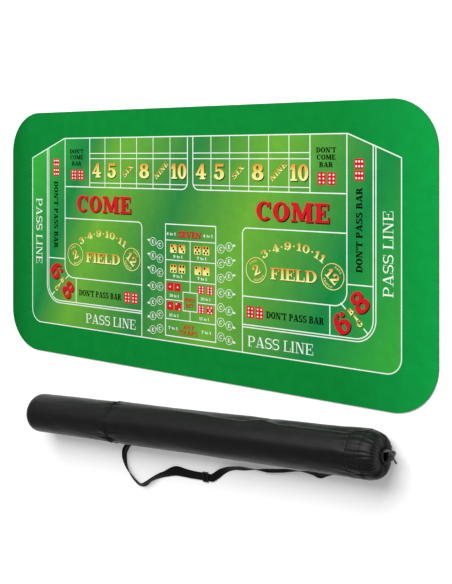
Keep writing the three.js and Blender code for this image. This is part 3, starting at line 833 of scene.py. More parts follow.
def printed_cloth():
    """The jersey: 0.5 mm thick, its cut edge a little rounded over, and the print's ground inside the outer line."""
    half_x, half_y, corner = 914.5, 457, 150
    inset = 0.35
    rim = [
        (x * (1 - inset / half_x), y * (1 - inset / half_y)) for x, y in round_cornered(half_x, half_y, corner)
    ]
    outlines = [list(range(len(rim))), list(range(len(rim), len(rim) + len(OUTER_LINE)))]
    corners = [Vector(p) for p in rim + OUTER_LINE]
    flat, _, triangles, _, _, owners = delaunay_2d_cdt(corners, [], outlines, 0, 1e-5)
    points = [(x, y, CLOTH_TOP) for x, y in flat]
    faces = [tuple(t) for t, owner in zip(triangles, owners) if owner]
    kinds = [1 if 1 in owner else 0 for owner in owners if owner]
    edges = {edge for t in faces for edge in zip(t, t[1:] + t[:1])}
    onward = {a: b for a, b in edges if (b, a) not in edges}
    start = next(iter(onward))
    loop = [start]
    while onward[loop[-1]] != start:
        loop.append(onward[loop[-1]])
    above = loop
    for height in (CLOTH_TOP - 0.12, CLOTH_TOP - 0.45):
        ring = list(range(len(points), len(points) + len(loop)))
        points += [(flat[i][0] * (1 + inset / half_x), flat[i][1] * (1 + inset / half_y), height) for i in loop]
        for k in range(len(loop)):
            n = (k + 1) % len(loop)
            faces.append((above[n], above[k], ring[k], ring[n]))
            kinds.append(0)
        above = ring
    faces.append(tuple(above[::-1]))
    kinds.append(0)
    cloth = sewn("mat_printed_cloth", [Vector(p) * MM for p in points], faces, [BORDER, GROUND], kinds, smooth=False)
    belongs(cloth, "mat", "printed_cloth", "mat_cloth_top")
    cut_area = (4 * half_x * half_y - (4 - math.pi) * corner**2) * MM * MM
    return cloth, cut_area


cloth, cloth_area = printed_cloth()
films["white"].lay(*one_outline(layout_lines()))
print_words()
print_corner_bets()
print_dice()
print_centre()
print_craps_eleven()

INKS = {
    "shadow": SHADOW, "white": WHITE, "black": BLACK, "red": RED, "gold": GOLD, "pip": BLACK, "white_pip": WHITE,
}
for film_name, film in films.items():
    made = film.piece(f"print_{film_name}", INKS[film_name])
    belongs(made, "mat", "printed_cloth")
dress(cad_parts["mat_rubber_base"], RUBBER)


# ---- The bag's fabrics ----
# Polyester pack cloth, 300 denier, plain woven and dyed black. The real threads are 0.45 mm apart.
# They are drawn 1.1 mm apart to show. A calendered face gives the long soft highlights.
def pack_cloth(tree):
    flat, solid = [node(tree, "ShaderNodeTexCoord", out=source) for source in ("UV", "Object")]
    threads = woven(tree, flat, 1.1, 1.1)
    slub = node(tree, "ShaderNodeTexNoise", {"Vector": flat, "Scale": 0.9, "Detail": 3})
    crease = node(tree, "ShaderNodeTexNoise", {"Vector": solid, "Scale": 38, "Detail": 6, "Roughness": 0.65})
    # The cloth is painted darker in the hollows of the soft creases that the same noise raises: painted shade.
    tone = node(tree, "ShaderNodeValToRGB", {0: crease}, stops=[(0.25, "#101011"), (0.75, "#171718")])
    # The low threads are painted darker: painted shade between the threads.
    layers = {0: 1.0, 6: tone, 7: by_height(tree, threads, [(0.1, "#D0D0D0"), (0.8, "#FFFFFF")])}
    soft = node(tree, "ShaderNodeBump", {"Height": crease, "Distance": 1.2 * MM, "Strength": 0.35})
    weave = {"Height": threads, "Distance": 0.12 * MM, "Strength": 0.5, "Normal": soft}
    return {
        "Base Color": node(tree, "ShaderNodeMix", layers, 2, data_type="RGBA", blend_type="MULTIPLY"),
        "Roughness": node(tree, "ShaderNodeMapRange", {0: slub, 1: 0.3, 2: 0.7, 3: 0.36, 4: 0.46}),
        "Normal": node(tree, "ShaderNodeBump", weave),
    }


# Polyester binding tape, twill woven with ribs across it 1.6 mm apart, duller than the pack cloth.
def binding(tree):
    flat = node(tree, "ShaderNodeTexCoord", out="UV")
    across, along = [node(tree, "ShaderNodeSeparateXYZ", {0: flat}, axis) for axis in "XY"]
    slant = node(tree, "ShaderNodeMath", {0: across, 1: along}, operation="ADD")
    turn = node(tree, "ShaderNodeMath", {0: slant, 1: math.tau / 1.6}, operation="MULTIPLY")
    twill = node(tree, "ShaderNodeMath", {0: turn}, operation="SINE")
    return {
        # The low twill lines are painted darker: painted shade between the ribs.
        "Base Color": by_height(tree, twill, [(0.1, "#0B0B0C"), (0.9, "#161617")]),
        "Normal": node(tree, "ShaderNodeBump", {"Height": twill, "Distance": 0.2 * MM, "Strength": 0.6}),
    }


# Polypropylene webbing, 25 mm. The ribs run along it 2 mm apart and the weft crosses it each 1.5 mm.
def webbing(tree):
    ribs = woven(tree, node(tree, "ShaderNodeTexCoord", out="UV"), 2.0, 1.5)
    return {
        # The low threads are painted darker: painted shade between the ribs.
        "Base Color": by_height(tree, ribs, [(0.1, "#070707"), (0.9, "#131314")]),
        "Normal": node(tree, "ShaderNodeBump", {"Height": ribs, "Distance": 0.3 * MM, "Strength": 0.8}),
    }


# Acetal, injection moulded with a fine spark-eroded grain: a low satin shine. Its convex edges are painted paler: a
# painted highlight.
def moulding(tree):
    where = node(tree, "ShaderNodeTexCoord", out="Object")
    grain = node(tree, "ShaderNodeTexNoise", {"Vector": where, "Scale": 1400, "Detail": 2})
    edge = node(tree, "ShaderNodeNewGeometry", out="Pointiness")
    return {
        # Paler where the surface is convex: painted highlight on the edges.
        "Base Color": node(tree, "ShaderNodeValToRGB", {0: edge}, stops=[(0.52, "#141414"), (0.62, "#2B2B2B")]),
        "Roughness": node(tree, "ShaderNodeMapRange", {0: grain, 1: 0.3, 2: 0.7, 3: 0.3, 4: 0.46}),
        "Normal": node(tree, "ShaderNodeBump", {"Height": grain, "Distance": 0.05 * MM, "Strength": 0.4}),
    }


# Spring steel wire, drawn: lines run round it and catch the light.
def wire(tree):
    return speckled(tree, 900, 2, [(0.3, "#8F9093"), (0.7, "#BFC1C4")], 0.02 * MM, 0.3)


# Bonded polyester thread, three plies twisted, 0.5 mm thick.
def thread(tree):
    return speckled(tree, 2200, 1, [(0.3, "#1C1C1D"), (0.7, "#38383A")], 0.08 * MM, 0.5)


PACK_CLOTH = finish("polyester pack cloth, woven", pack_cloth, Specular_IOR_Level=0.22)
BINDING = finish("polyester binding tape, twill", binding, Roughness=0.6, Specular_IOR_Level=0.16)
WEBBING = finish("polypropylene webbing, woven", webbing, Roughness=0.6, Specular_IOR_Level=0.14)
ACETAL = finish("acetal, moulded", moulding, IOR=1.48)
SPRING_STEEL = finish("spring steel wire, drawn", wire, Metallic=1.0, Roughness=0.3)
THREAD = finish("bonded polyester thread, twisted", thread, Roughness=0.6)


# ---- The bag ----
BAG_RADIUS = 70
FOOT_RADIUS = 69
WALL = 1.6
FOOT_END = 30
FOOT_DOME = 50
FOOT_DISC = 30
FOOT_SEAM = 461
MOUTH_BAND = (1428, 1472)
CLEARANCE = 0.3
BAND_THICKNESS = 0.8


def wrapped(name, rings, along, around, look, closed=False, caps=False):
    """A mesh from rings of points in the bag's frame. UV in millimetres: u round the ring, v along the piece.
    around is the list of u for the ring's points and its first one again, along is v for each ring."""
    sides = len(rings[0])
    points = [in_bag(p) for ring in rings for p in ring]
    faces, uv = [], []
    for i in range(len(rings) if closed else len(rings) - 1):
        j = (i + 1) % len(rings)
        for k in range(sides):
            n = (k + 1) % sides
            faces.append((i * sides + k, i * sides + n, j * sides + n, j * sides + k))
            u0, u1, v0, v1 = around[k], around[k + 1], along[i], along[j] if j else along[0]
            uv += [(u0, v0), (u1, v0), (u1, v1), (u0, v1)]
    if caps:
        for ring, order in ((0, -1), (len(rings) - 1, 1)):
            faces.append(tuple(range(ring * sides, (ring + 1) * sides))[::order])
            uv += [(0, along[ring])] * sides
    made = sewn(name, points, faces, [look])
    layer = made.data.uv_layers.new(name="weave").data
    for corner, place_on_cloth in zip(layer, uv):
        corner.uv = place_on_cloth
    return made


def bell(value, middle, spread):
    return math.exp(-(((value - middle) / spread) ** 2))


def eased(value, low, high):
    share = min(max((value - low) / (high - low), 0), 1)
    return share * share * (3 - 2 * share)


def round_noise(degrees, x, fineness, stretch, seed):
    """Smooth noise round the bag: fineness sets how narrow its bumps are, stretch how long."""
    a = math.radians(degrees)
    return noise.noise(Vector((fineness * math.cos(a) + seed, fineness * math.sin(a), x / stretch + seed)))


# Where the long fold in the skin lies: (x, angle).
FOLD_LINE = [
    (560, 4), (640, 8), (820, 12), (960, 22), (1030, 25), (1085, 14), (1107, 8), (1135, 16), (1175, 22), (1300, 23),
    (1430, 24),
]


def fold_angle(x):
    for (xa, a), (xb, b) in zip(FOLD_LINE, FOLD_LINE[1:]):
        if x <= xb:
            return a + (b - a) * eased(x, xa, xb)
    return FOLD_LINE[-1][1]


def gathers(x, angle, seam, reach, height, seed):
    """Puckers where the cloth is gathered into a seam: ridges across it that die away."""
    near = math.exp(-abs(x - seam) / reach)
    fine = round_noise(angle, x, 11, 55, seed)
    broad = round_noise(angle, x, 4.5, 120, seed + 7)
    return near * height * (fine + 0.9 * broad)


# The stuffed skin's long ridge near the top, the hollow on its -y side and the dip on its +y side.
RIDGE_ANGLE, RIDGE_HEIGHT, HOLLOW_DEPTH, DIP_DEPTH = 76, 2.4, 2.6, 1.0
FOLD_DEPTH = 5.5


def relief(x, angle):
    """How far the stuffed bag's skin stands out of its plain round form, in millimetres."""
    angle = (angle + 180) % 360 - 180
    body = eased(x, 80, 240) * (1 - eased(x, 1410, 1500))
    ridge = RIDGE_ANGLE + 5 * round_noise(0, x, 0.1, 260, 3)
    out = RIDGE_HEIGHT * bell(angle, ridge, 17) - HOLLOW_DEPTH * bell(angle, ridge + 40, 26)
    out = body * (out - DIP_DEPTH * bell(angle, ridge - 36, 20))
    out += body * 1.6 * round_noise(angle, x, 1.6, 170, 21)
    fold = fold_angle(x)
    depth = FOLD_DEPTH * eased(x, 560, 980) * (1 - eased(x, 1400, 1445)) * (1 + 0.6 * bell(x, 1110, 30))
    below = fold - angle
    out += depth * (0.35 * bell(below, -7, 6) - eased(below, -1, 6) * (1 - eased(below, 9, 40)))
    out += gathers(x, angle, FOOT_SEAM, 32, 5.6, 40)
    out += gathers(x, angle, MOUTH_BAND[0], 30, 2.6, 60) + gathers(x, angle, MOUTH_BAND[1], 20, 3.0, 60)
    out += 0.7 * round_noise(angle, x, 3.2, 46, 90) * eased(x, 0, 120)
    return out


def settled(z):
    """A height on the bag once it rests on the floor, a little flat."""
    return max(z, 0.9 + 0.12 * max(0, 8 - z))


def skin(x, radius, angle, lift=0.0, share=1.0):
    """A point of the skin: x along the bag, angle from +y up over the top."""
    a = math.radians(angle)
    out = radius + lift + share * relief(x, angle)
    return x, out * math.cos(a), settled(AXIS_HEIGHT + out * math.sin(a))


def girth(sides, radius=BAG_RADIUS):
    """How far round a ring each of its points lies, and the first one again."""
    return [radius * math.tau * k / sides for k in range(sides + 1)]


def facing(profile, i):
    """The way, as (x, radius), that a profile faces at one of its stations."""
    (xa, ra), (xb, rb) = profile[max(i - 1, 0)], profile[min(i + 1, len(profile) - 1)]
    length = math.hypot(xb - xa, rb - ra)
    return (ra - rb) / length, (xb - xa) / length


def shell(name, profile, sides, share=lambda radius: 1.0):
    """A closed sleeve of cloth from (x, radius) stations: its face, then its back a wall's thickness inside.
    share gives how much of the skin's relief it has at a radius."""
    turns = [360 * k / sides for k in range(sides)]
    face = [[skin(x, r, a, share=share(r)) for a in turns] for x, r in profile]
    back = []
    for i, ring in enumerate(face):
        way_x, way_r = facing(profile, i)
        back.append([])
        for x, y, z in ring:
            inward = Vector((0, y, z - AXIS_HEIGHT))
            inward = inward.normalized() * (inward.length - WALL * way_r)
            back[-1].append((x - WALL * way_x, inward.y, AXIS_HEIGHT + inward.z))
    along = run_of(profile)
    return wrapped(name, face + back[::-1], along + along[::-1], girth(sides), PACK_CLOTH, closed=True)


def stations(points, step):
    """(x, radius) points with more set in between, no further apart than step."""
    line = []
    for (xa, ra), (xb, rb) in zip(points, points[1:]):
        count = max(1, math.ceil(math.hypot(xb - xa, rb - ra) / step))
        line += [(xa + (xb - xa) * i / count, ra + (rb - ra) * i / count) for i in range(count)]
    return line + [points[-1]]


def smooth_profile(points, step):
    """A smooth line through (x, radius) points."""
    line = bends([Vector((x, r, 0)) for x, r in points])
    count = max(4, round(run_of(points)[-1] / step))
    return [tuple(line(i / count)[:2]) for i in range(count + 1)]


def bends(points):
    """The smooth curve through points that the strap's routes follow: a centripetal Catmull-Rom line, t from 0 to 1."""
    first = points[0] * 2 - points[1]
    last = points[-1] * 2 - points[-2]
    chain = [first, *points, last]

    def at(t):
        place_on_line = min(max(t, 0), 1) * (len(points) - 1)
        i = min(int(place_on_line), len(points) - 2)
        w = place_on_line - i
        p0, p1, p2, p3 = chain[i : i + 4]
        d1 = (p2 - p1).length_squared ** 0.25
        d1 = d1 if d1 >= 1e-4 else 1.0
        d0 = (p1 - p0).length_squared ** 0.25
        d0 = d0 if d0 >= 1e-4 else d1
        d2 = (p3 - p2).length_squared ** 0.25
        d2 = d2 if d2 >= 1e-4 else d1
        m1 = ((p1 - p0) / d0 - (p2 - p0) / (d0 + d1) + (p2 - p1) / d1) * d1
        m2 = ((p2 - p1) / d1 - (p3 - p1) / (d1 + d2) + (p3 - p2) / d2) * d1
        return p1 + m1 * w + (p1 * -3 + p2 * 3 - m1 * 2 - m2) * w**2 + (p1 * 2 - p2 * 2 + m1 + m2) * w**3

    return at


def dome_x(radius):
    """The foot's rounded end: x at a radius from the bag's axis."""
    fullness = 2.6
    return FOOT_END + FOOT_DOME * (1 - (1 - min(radius / FOOT_RADIUS, 1) ** fullness) ** (1 / fullness))


def bag_foot():
    start = FOOT_DISC + 0.9
    dome = []
    for i in range(19):
        radius = start + (FOOT_RADIUS - start) * math.sin(math.pi / 2 * i / 18)
        dome.append((dome_x(radius), radius))
    tube = stations([dome[-1], (FOOT_SEAM - 0.2, FOOT_RADIUS)], 6)
    sleeve = shell("bag_foot_sleeve_cloth", dome + tube[1:], 112, share=lambda radius: eased(radius, 31, 60))
    belongs(sleeve, "bag", "bag_polyester", "bag_foot_sleeve")
    sides, steps, rings = 48, 10, []
    radii = [0.6] + [FOOT_DISC * i / steps for i in range(1, steps + 1)]
    along = radii + radii[::-1]
    for i, radius in enumerate(along):
        back = 0 if i < len(radii) else WALL
        ripple = 0.35 * eased(radius, 14, 28)
        ring = []
        for k in range(sides):
            a = math.tau * k / sides
            x = dome_x(radius) + back + ripple * math.sin(11 * a + 1.3 * math.sin(3 * a))
            ring.append((max(x, 0.1), radius * math.cos(a), AXIS_HEIGHT + radius * math.sin(a)))
        rings.append(ring)
    disc = wrapped("bag_foot_disc_cloth", rings, along, girth(sides, 20), PACK_CLOTH, closed=True)
    belongs(disc, "bag", "bag_polyester", "bag_foot_disc")


def bag_body():
    profile = stations([(FOOT_SEAM + 0.2, BAG_RADIUS), (MOUTH_BAND[0] - 0.2, BAG_RADIUS)], 6)
    sleeve = shell("bag_main_sleeve_cloth", profile, 128)
    belongs(sleeve, "bag", "bag_polyester", "bag_main_sleeve")


MOUTH_PROFILE = [
    (1428.2, 70), (1450, 70), (1474, 70), (1487, 68.6), (1498, 65.2),
    (1507, 60.2), (1513, 53.6), (1516.4, 45), (1517.4, 35), (1517.8, 23),
]
GATHER_COUNT = 19


def mouth_gather(angle):
    """Folds that the drawcord pulls into the mouth: deeper and sharper towards the hem."""
    a = math.radians(angle)
    wave = math.sin(GATHER_COUNT * a + 1.1 * math.sin(2 * a + 1) + 0.8 * math.sin(5 * a))
    return (0.55 - abs(wave) ** 0.7) * 1.5


def bag_mouth():
    sides = 204
    profile = smooth_profile(MOUTH_PROFILE, 2.6)
    turns = [360 * k / sides for k in range(sides)]
    face, back = [], []
    for i, (x, radius) in enumerate(profile):
        way_x, way_r = facing(profile, i)
        depth = 2.2 * eased(x, 1480, 1516)
        front, rear = [], []
        for angle in turns:
            a = math.radians(angle)
            fullness = 0.8 + 0.9 * round_noise(angle, x, 2.2, 90, 33)
            push = (1 - eased(x, 1490, 1517)) * relief(x, angle) + depth * fullness * mouth_gather(angle)
            for ring, off in ((front, push), (rear, push - WALL)):
                r = radius + off * way_r
                ring.append((x + off * way_x, r * math.cos(a), settled(AXIS_HEIGHT + r * math.sin(a))))
        face.append(front)
        back.append(rear)
    along, around = run_of(profile), girth(sides)
    sleeve = wrapped(
        "bag_mouth_sleeve_cloth", face + back[::-1], along + along[::-1], around, PACK_CLOTH, closed=True,
    )
    belongs(sleeve, "bag", "bag_polyester", "bag_mouth_sleeve", "bag_mouth_neck")


def ring_at_mouth(name, tube, sides, around_count, look, swell=lambda angle, turn: 1):
    """A round tube laid in a ring along the hem. swell(angle, turn) changes the tube's own radius."""
    rings = []
    for i in range(around_count):
        angle = 360 * i / around_count
        a = math.radians(angle)
        ring = []
        for k in range(sides):
            t = math.tau * k / sides
            out = tube * swell(angle, t)
            r = HEM_RADIUS + out * math.cos(t)
            ring.append((MOUTH_END + out * math.sin(t), r * math.cos(a), AXIS_HEIGHT + r * math.sin(a)))
        rings.append(ring[::-1])
    return wrapped(name, rings, girth(around_count, HEM_RADIUS)[:-1], girth(sides, tube), look, closed=True)


def mouth_edge():
    def puckered(angle, turn):
        return 1 + 0.16 * mouth_gather(angle) + 0.05 * math.sin(3 * turn + angle / 20)

    hem = ring_at_mouth("mouth_hem_gathered", 4.4, 20, 204, PACK_CLOTH, puckered)
    belongs(hem, "bag", "bag_polyester", "mouth_hem")
    ring = ring_at_mouth("drawcord_in_hem", CORD_RADIUS, 12, 120, BRAID)
    belongs(ring, "bag", "drawcord", "drawcord_ring")


def band(name, start, end, node_name, look, bulge):
    """A band over a seam: rolled at both edges, drawn down where it is stitched."""
    count = max(6, round((end - start) / 1.6))
    rows = [start + (end - start) * i / count for i in range(count + 1)]
    sides = 160
    turns = [360 * k / sides for k in range(sides)]
    top, under = [], []
    for x in rows:
        edge = min(x - start, end - x)
        height = CLEARANCE + BAND_THICKNESS * min(1, 0.35 + edge / 0.9) + bulge(x)
        top.append([skin(x, BAG_RADIUS, a, height) for a in turns])
        under.append([skin(x, BAG_RADIUS, a, CLEARANCE * 0.6) for a in turns])
    along = [x - start for x in rows]
    made = wrapped(name, top + under[::-1], along + along[::-1], girth(sides), look, closed=True)
    belongs(made, "bag", "bag_polyester", node_name)


STITCH_RINGS = ((-0.5, -0.5, 0.5), (-0.3, 0.45, 1), (0.3, 0.45, 1), (0.5, -0.5, 0.5))  # forward, up, size


def stitches(name, lines, body, length=3.2, gap=1.4, thickness=0.32):
    """Rows of lockstitch: each stitch a small bead of thread, sunk at both ends. Each line is (point, up) pairs."""
    points, faces = [], []
    sides = 5
    for line in lines:
        run = run_of([point for point, _ in line])
        at, k = 0.0, 0
        while at + length < run[-1]:
            while run[k + 1] < at + length / 2:
                k += 1
            share = (at + length / 2 - run[k]) / (run[k + 1] - run[k])
            (a, up_a), (b, _) = line[k], line[k + 1]
            middle = Vector(a).lerp(Vector(b), share)
            way = (Vector(b) - Vector(a)).normalized()
            up = Vector(up_a).normalized()
            side = way.cross(up)
            start = len(points)
            for forward, high, size in STITCH_RINGS:
                centre = middle + way * forward * length + up * high * thickness
                for i in range(sides):
                    t = math.tau * i / sides
                    points.append(in_bag(centre + (side * math.cos(t) + up * math.sin(t)) * thickness * size))
            for step in range(3):
                for i in range(sides):
                    n = (i + 1) % sides
                    low = start + step * sides
                    faces.append((low + i, low + sides + i, low + sides + n, low + n))
            faces.append(tuple(range(start, start + sides)))
            faces.append(tuple(range(start + 3 * sides, start + 4 * sides))[::-1])
            at += length + gap
    belongs(sewn(name, points, faces, [THREAD]), body, "bag_polyester")


def round_line(x, height, sides=180):
    """A stitching line round the bag, on a band that stands height proud."""
    line = []
    for k in range(sides + 1):
        angle = 360 * k / sides
        a = math.radians(angle)
        line.append((skin(x, BAG_RADIUS, angle, height), (0, math.cos(a), math.sin(a))))
    return line


def seam_bands():
    """Tape over the foot's seam and a wide hem at the mouth, each stitched along both edges."""
    half = 6.5

    def tape_bulge(x):
        return -0.35 * bell(x, FOOT_SEAM, 1.6)

    mouth_rows = MOUTH_BAND[0] + 3, MOUTH_BAND[1] - 3

    def hem_bulge(x):
        return 0.5 * bell(x, sum(MOUTH_BAND) / 2, 14) - sum(0.3 * bell(x, row, 1) for row in mouth_rows)

    band("foot_seam_tape", FOOT_SEAM - half, FOOT_SEAM + half, "foot_seam_band", BINDING, tape_bulge)
    band("mouth_seam_tape", *MOUTH_BAND, "mouth_seam_band", PACK_CLOTH, hem_bulge)
    stitches("foot_seam_stitching", [round_line(FOOT_SEAM + x, 1.1) for x in (-4.4, 4.4)], "bag")
    stitches("mouth_seam_stitching", [round_line(x, 1.0) for x in mouth_rows], "bag")


bag_foot()
bag_body()
bag_mouth()
mouth_edge()
seam_bands()

# ---- The knot and the lock ----
KNOT = LOCK_CENTRE + CORD_WAY * 30 + BUTTON_WAY * 2.2


def drawcord_knot():
    """An overhand knot: the cord's own loop drawn tight."""
    size = 1.05
    route = []
    for i in range(61):
        t = math.tau * i / 60
        x, y, z = math.sin(t) + 2 * math.sin(2 * t), math.cos(t) - 2 * math.cos(2 * t), -1.6 * math.sin(3 * t)
        route.append(KNOT + (CORD_WAY * x + BUTTON_WAY * y + Vector((1, 0, 0)) * z) * size)
    knot = rope("drawcord_knot_tied", route, 1.4)
    return belongs(knot, "bag", "drawcord", "drawcord_knot")


SPRING_LOW, SPRING_HIGH = -9.3, -2.7  # the coil's ends along the button's way, from the lock's centre


def lock_spring():
    """A coil spring in the barrel, made at one length. The real one shortens as the button goes down."""
    turns, coil_radius, wire_radius, press, steps = 3.5, 4, 0.4, 4.4, 112
    across = BUTTON_WAY.cross(CORD_WAY)
    route = []
    for i in range(steps + 1):
        t = i / steps
        a = math.tau * turns * t
        high = SPRING_LOW + (SPRING_HIGH - SPRING_LOW) * t
        route.append(LOCK_CENTRE + (CORD_WAY * math.cos(a) + across * math.sin(a)) * coil_radius + BUTTON_WAY * high)
    coil = rope("lock_spring_coil", route, wire_radius, sides=8, look=SPRING_STEEL)
    belongs(coil, "cord_lock", "spring_steel", "cord_lock_spring")
    tuple(in_bag(LOCK_CENTRE + BUTTON_WAY * SPRING_LOW))
    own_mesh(coil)


knot = drawcord_knot()
lock_spring()
for name in ("cord_lock_barrel", "cord_lock_plunger"):
    dress(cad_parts[name], ACETAL)
for strand, route in strands:
    length = sum((b - a).length for a, b in zip(route, route[1:])) * MM
    tuple(in_bag(route[0]))
    [tuple(in_bag(p)) for p in route]

# ---- The shoulder strap ----
WEB_WIDTH = 25
WEB_THICK = 1
TAB_WIDTH = 22
HINGE_Y, HINGE_Z = -72.5, 19.4
RING_X = 462
INNER_BAR, OUTER_BAR = HINGE_Y + 6, HINGE_Y - 6
SLIDER_X, SLIDER_Y = 792, -165
RUN_HEIGHT = 4.5
LAYER = 2


def resting(tilt, under=0):
    """How high the webbing's middle stands when its edge rests on the floor, with room for a layer under it."""
    lean = math.radians(tilt)
    return WEB_WIDTH / 2 * abs(math.sin(lean)) + (WEB_THICK / 2 + under) * abs(math.cos(lean)) + CLEARANCE


def round_bar(y, start, end):
    """Webbing turned round one bar of the foot's ring, from start to end in degrees."""
    turns, wrap = [math.radians(start + (end - start) * i / 4) for i in range(5)], 2.9
    return [(RING_X + wrap * math.cos(a), y + wrap * math.sin(a), HINGE_Z, 90) for a in turns]


RUN = [
    (RING_X + 3.2, OUTER_BAR - 4.5, HINGE_Z, 90),
    *round_bar(OUTER_BAR, 0, 180),
    (456, -84, 19, 90),
    (443, -94, 16, 90),
    (432, -108, 14, 90),
    (427, -128, resting(88), 88),
    (429, -152, resting(72, LAYER), 72),
    (438, -180, resting(52, LAYER), 52),
    (458, -206, resting(38, LAYER), 38),
    (485, -224, resting(38, LAYER), 38),
    (512, -226, resting(58, LAYER), 58),
    (542, -209, resting(76, LAYER), 76),
    (580, -190, resting(58, LAYER), 58),
    (620, -175, resting(34, LAYER), 34),
    (661, -165, resting(12, LAYER) + 0.8, 12),
    (700, -164.5, RUN_HEIGHT, 1),
    (722, SLIDER_Y, RUN_HEIGHT, 0),
    (757, SLIDER_Y, RUN_HEIGHT, 0),
    (SLIDER_X, SLIDER_Y, RUN_HEIGHT, 0),
    (808, SLIDER_Y, RUN_HEIGHT, 0),
    (820, SLIDER_Y, RUN_HEIGHT, 0),
    (842, -153, resting(14) + 1.4, 14),
    (864, -139, resting(32) + 0.4, 32),
    (890, -127, resting(46), 46),
    (918, -120, resting(50), 50),
    (950, -117, resting(46), 46),
    (990, -113, resting(62), 62),
    (1028, -110, resting(86), 86),
    (1070, -109, resting(104), 104),
    (1120, -103, resting(104), 104),
    (1180, -98, resting(74), 74),
    (1225, -99, resting(44), 44),
    (1246, -103, resting(32), 32),
    (1268, -98, resting(52), 52),
    (1304, -91, resting(80) + 1, 80),
    (1350, -80, 17, 110),
    (1385, -73, HINGE_Z, 125),
    (1404, HINGE_Y, HINGE_Z, 125.8),
]


def laid(route):
    """How webbing lies along a route of (x, y, z, tilt): its middle, its width's and its thickness's directions."""
    line = bends([Vector(p[:3]) for p in route])
    roll = bends([Vector((p[3], 0, 0)) for p in route])

    def at(t):
        step = 1e-4
        along = (line(min(t + step, 1)) - line(max(t - step, 0))).normalized()
        level = Vector((-along.y, along.x, 0)).normalized()
        upright = along.cross(level)
        tilt = roll(t).x
        lean = math.radians(tilt)
        wide = level * math.cos(lean) + upright * math.sin(lean)
        return line(t), wide, along.cross(wide), tilt

    return at


def second_layer(start, end):
    """The run's own route between two of its points, one layer lower."""
    at = laid(RUN)
    below = []
    for i in range((end - start) * 3 + 1):
        point, _, thick, tilt = at((start + i / 3) / (len(RUN) - 1))
        below.append((*(point - thick * LAYER), tilt))
    return below


def run_index(x):
    return next(i for i, point in enumerate(RUN) if point[0] == x)


RETURN = [
    (RING_X + 3.2, OUTER_BAR - 6.6, HINGE_Z, 90),
    (459, -93, 17, 90),
    (445, -105, 14.5, 90),
    *second_layer(run_index(427), run_index(620)),
    (661, -157, resting(6), 6),
    (705, -162, resting(0), 0),
    (745, SLIDER_Y, resting(0), 0),
    (SLIDER_X - 22.8, SLIDER_Y, resting(0), 0),
]


def web(name, route, steps, width=WEB_WIDTH, thick=WEB_THICK * 0.94):
    """Flat webbing with round selvedges, a little thicker along its ribs."""
    at = laid(route)
    half, edge = width / 2, thick / 2
    below = [(-half + edge + (width - 2 * edge) * i / 6, -edge) for i in range(7)]
    selvedge = [(half - 0.12 * edge, -edge * 0.6), (half, 0), (half - 0.12 * edge, edge * 0.6)]
    outline = below + selvedge + [(-w, -t) for w, t in below + selvedge]
    around = run_of(outline + outline[:1])
    spots = [at(i / steps) for i in range(steps + 1)]
    rings = [[point + wide * w + across * t for w, t in outline] for point, wide, across, _ in spots]
    return wrapped(name, rings, run_of([point for point, *_ in spots]), around, WEBBING, caps=True)


FOOT_TAB = [
    (448, -61, HINGE_Z, 90),
    (454, -63, HINGE_Z, 90),
    *round_bar(INNER_BAR, 180, 360),
    (464, -62.6, HINGE_Z, 90),
    (459, -60.6, HINGE_Z, 90),
]
MOUTH_TAB = [
    (1466, -59.2, 28.8, 54.2),
    (1446, -60, 28.3, 54.2),
    (1428, -65.6, 24.2, 54.2),
    (1404.4, HINGE_Y, HINGE_Z, 54.2),
]


def crossing(name, route, steps, node_name, start, end, width=WEB_WIDTH):
    """Webbing that crosses from one body to another."""
    piece = web(name, route, steps, width)
    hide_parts(node_name)
    in_bag(start)
    in_bag(end)
    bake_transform(piece)


def shoulder_strap():
    belongs(web("strap_run_webbing", RUN, 420), "strap", "strap_webbing", "strap_run")
    crossing(
        "strap_return_webbing", RETURN, 220, "strap_return", (655, -155, 1), (762, -165, 1)
    )
    crossing(
        "foot_anchor_tab_webbing", FOOT_TAB, 64, "foot_anchor_tab",
        (462, -61, HINGE_Z), (462, -66, HINGE_Z), TAB_WIDTH,
    )
    crossing(
        "mouth_anchor_tab_webbing", MOUTH_TAB, 30, "mouth_anchor_tab",
        (1438, -61, 27.5), (1404.4, HINGE_Y, HINGE_Z),
    )


def tail_wrap():
    """The webbing's end, folded round the slider's centre bar and sewn to itself."""
    start, middle, width = SLIDER_X - 22.75, 2.0, WEB_WIDTH - 1
    outer, inner = 1.68, 0.87  # its two faces' distance from the fold's middle
    turns = [math.radians(-90 + 180 * i / 12) for i in range(13)]
    line = [(start + (SLIDER_X + 2 - start) * i / 8, middle - outer) for i in range(8)]
    line += [(SLIDER_X + 2 + outer * math.cos(a), middle + outer * math.sin(a)) for a in turns]
    line += [(SLIDER_X + 2 + (start + 4 - SLIDER_X) * i / 6, middle + outer) for i in range(1, 7)]
    line += [(start + 6 + (SLIDER_X - 4 - start) * i / 6, middle + inner) for i in range(6)]
    line += [(SLIDER_X + 2 + inner * math.cos(a), middle + inner * math.sin(a)) for a in turns[::-1]]
    line += [(SLIDER_X + 2 + (start - SLIDER_X - 2) * i / 8, middle - inner) for i in range(1, 9)]
    around = run_of(line + line[:1])
    along = [0, 0.25, *(width * i / 8 for i in range(1, 8)), width - 0.25, width]
    rings = [[(x, SLIDER_Y - width / 2 + row, z) for x, z in line[::-1]] for row in along]
    wrap = wrapped("strap_tail_wrap_webbing", rings, along, around, WEBBING, caps=True)
    belongs(wrap, "slider", "strap_webbing", "strap_tail_wrap")


def block(name, low, high):
    clear_selection()
    bpy.ops.mesh.primitive_cube_add(size=1, location=[(a + b) / 2 for a, b in zip(low, high)])
    made = bpy.context.object
    made.name = name
    made.scale = [b - a for a, b in zip(low, high)]
    bpy.ops.object.transform_apply(location=True, rotation=True, scale=True)
    return made


def apply_modifier(piece, kind, **settings):
    clear_selection()
    piece.select_set(True)
    bpy.context.view_layer.objects.active = piece
    modifier = piece.modifiers.new(kind.lower(), kind)
    for key, value in settings.items():
        setattr(modifier, key, value)
    bpy.ops.object.modifier_apply(modifier=modifier.name)


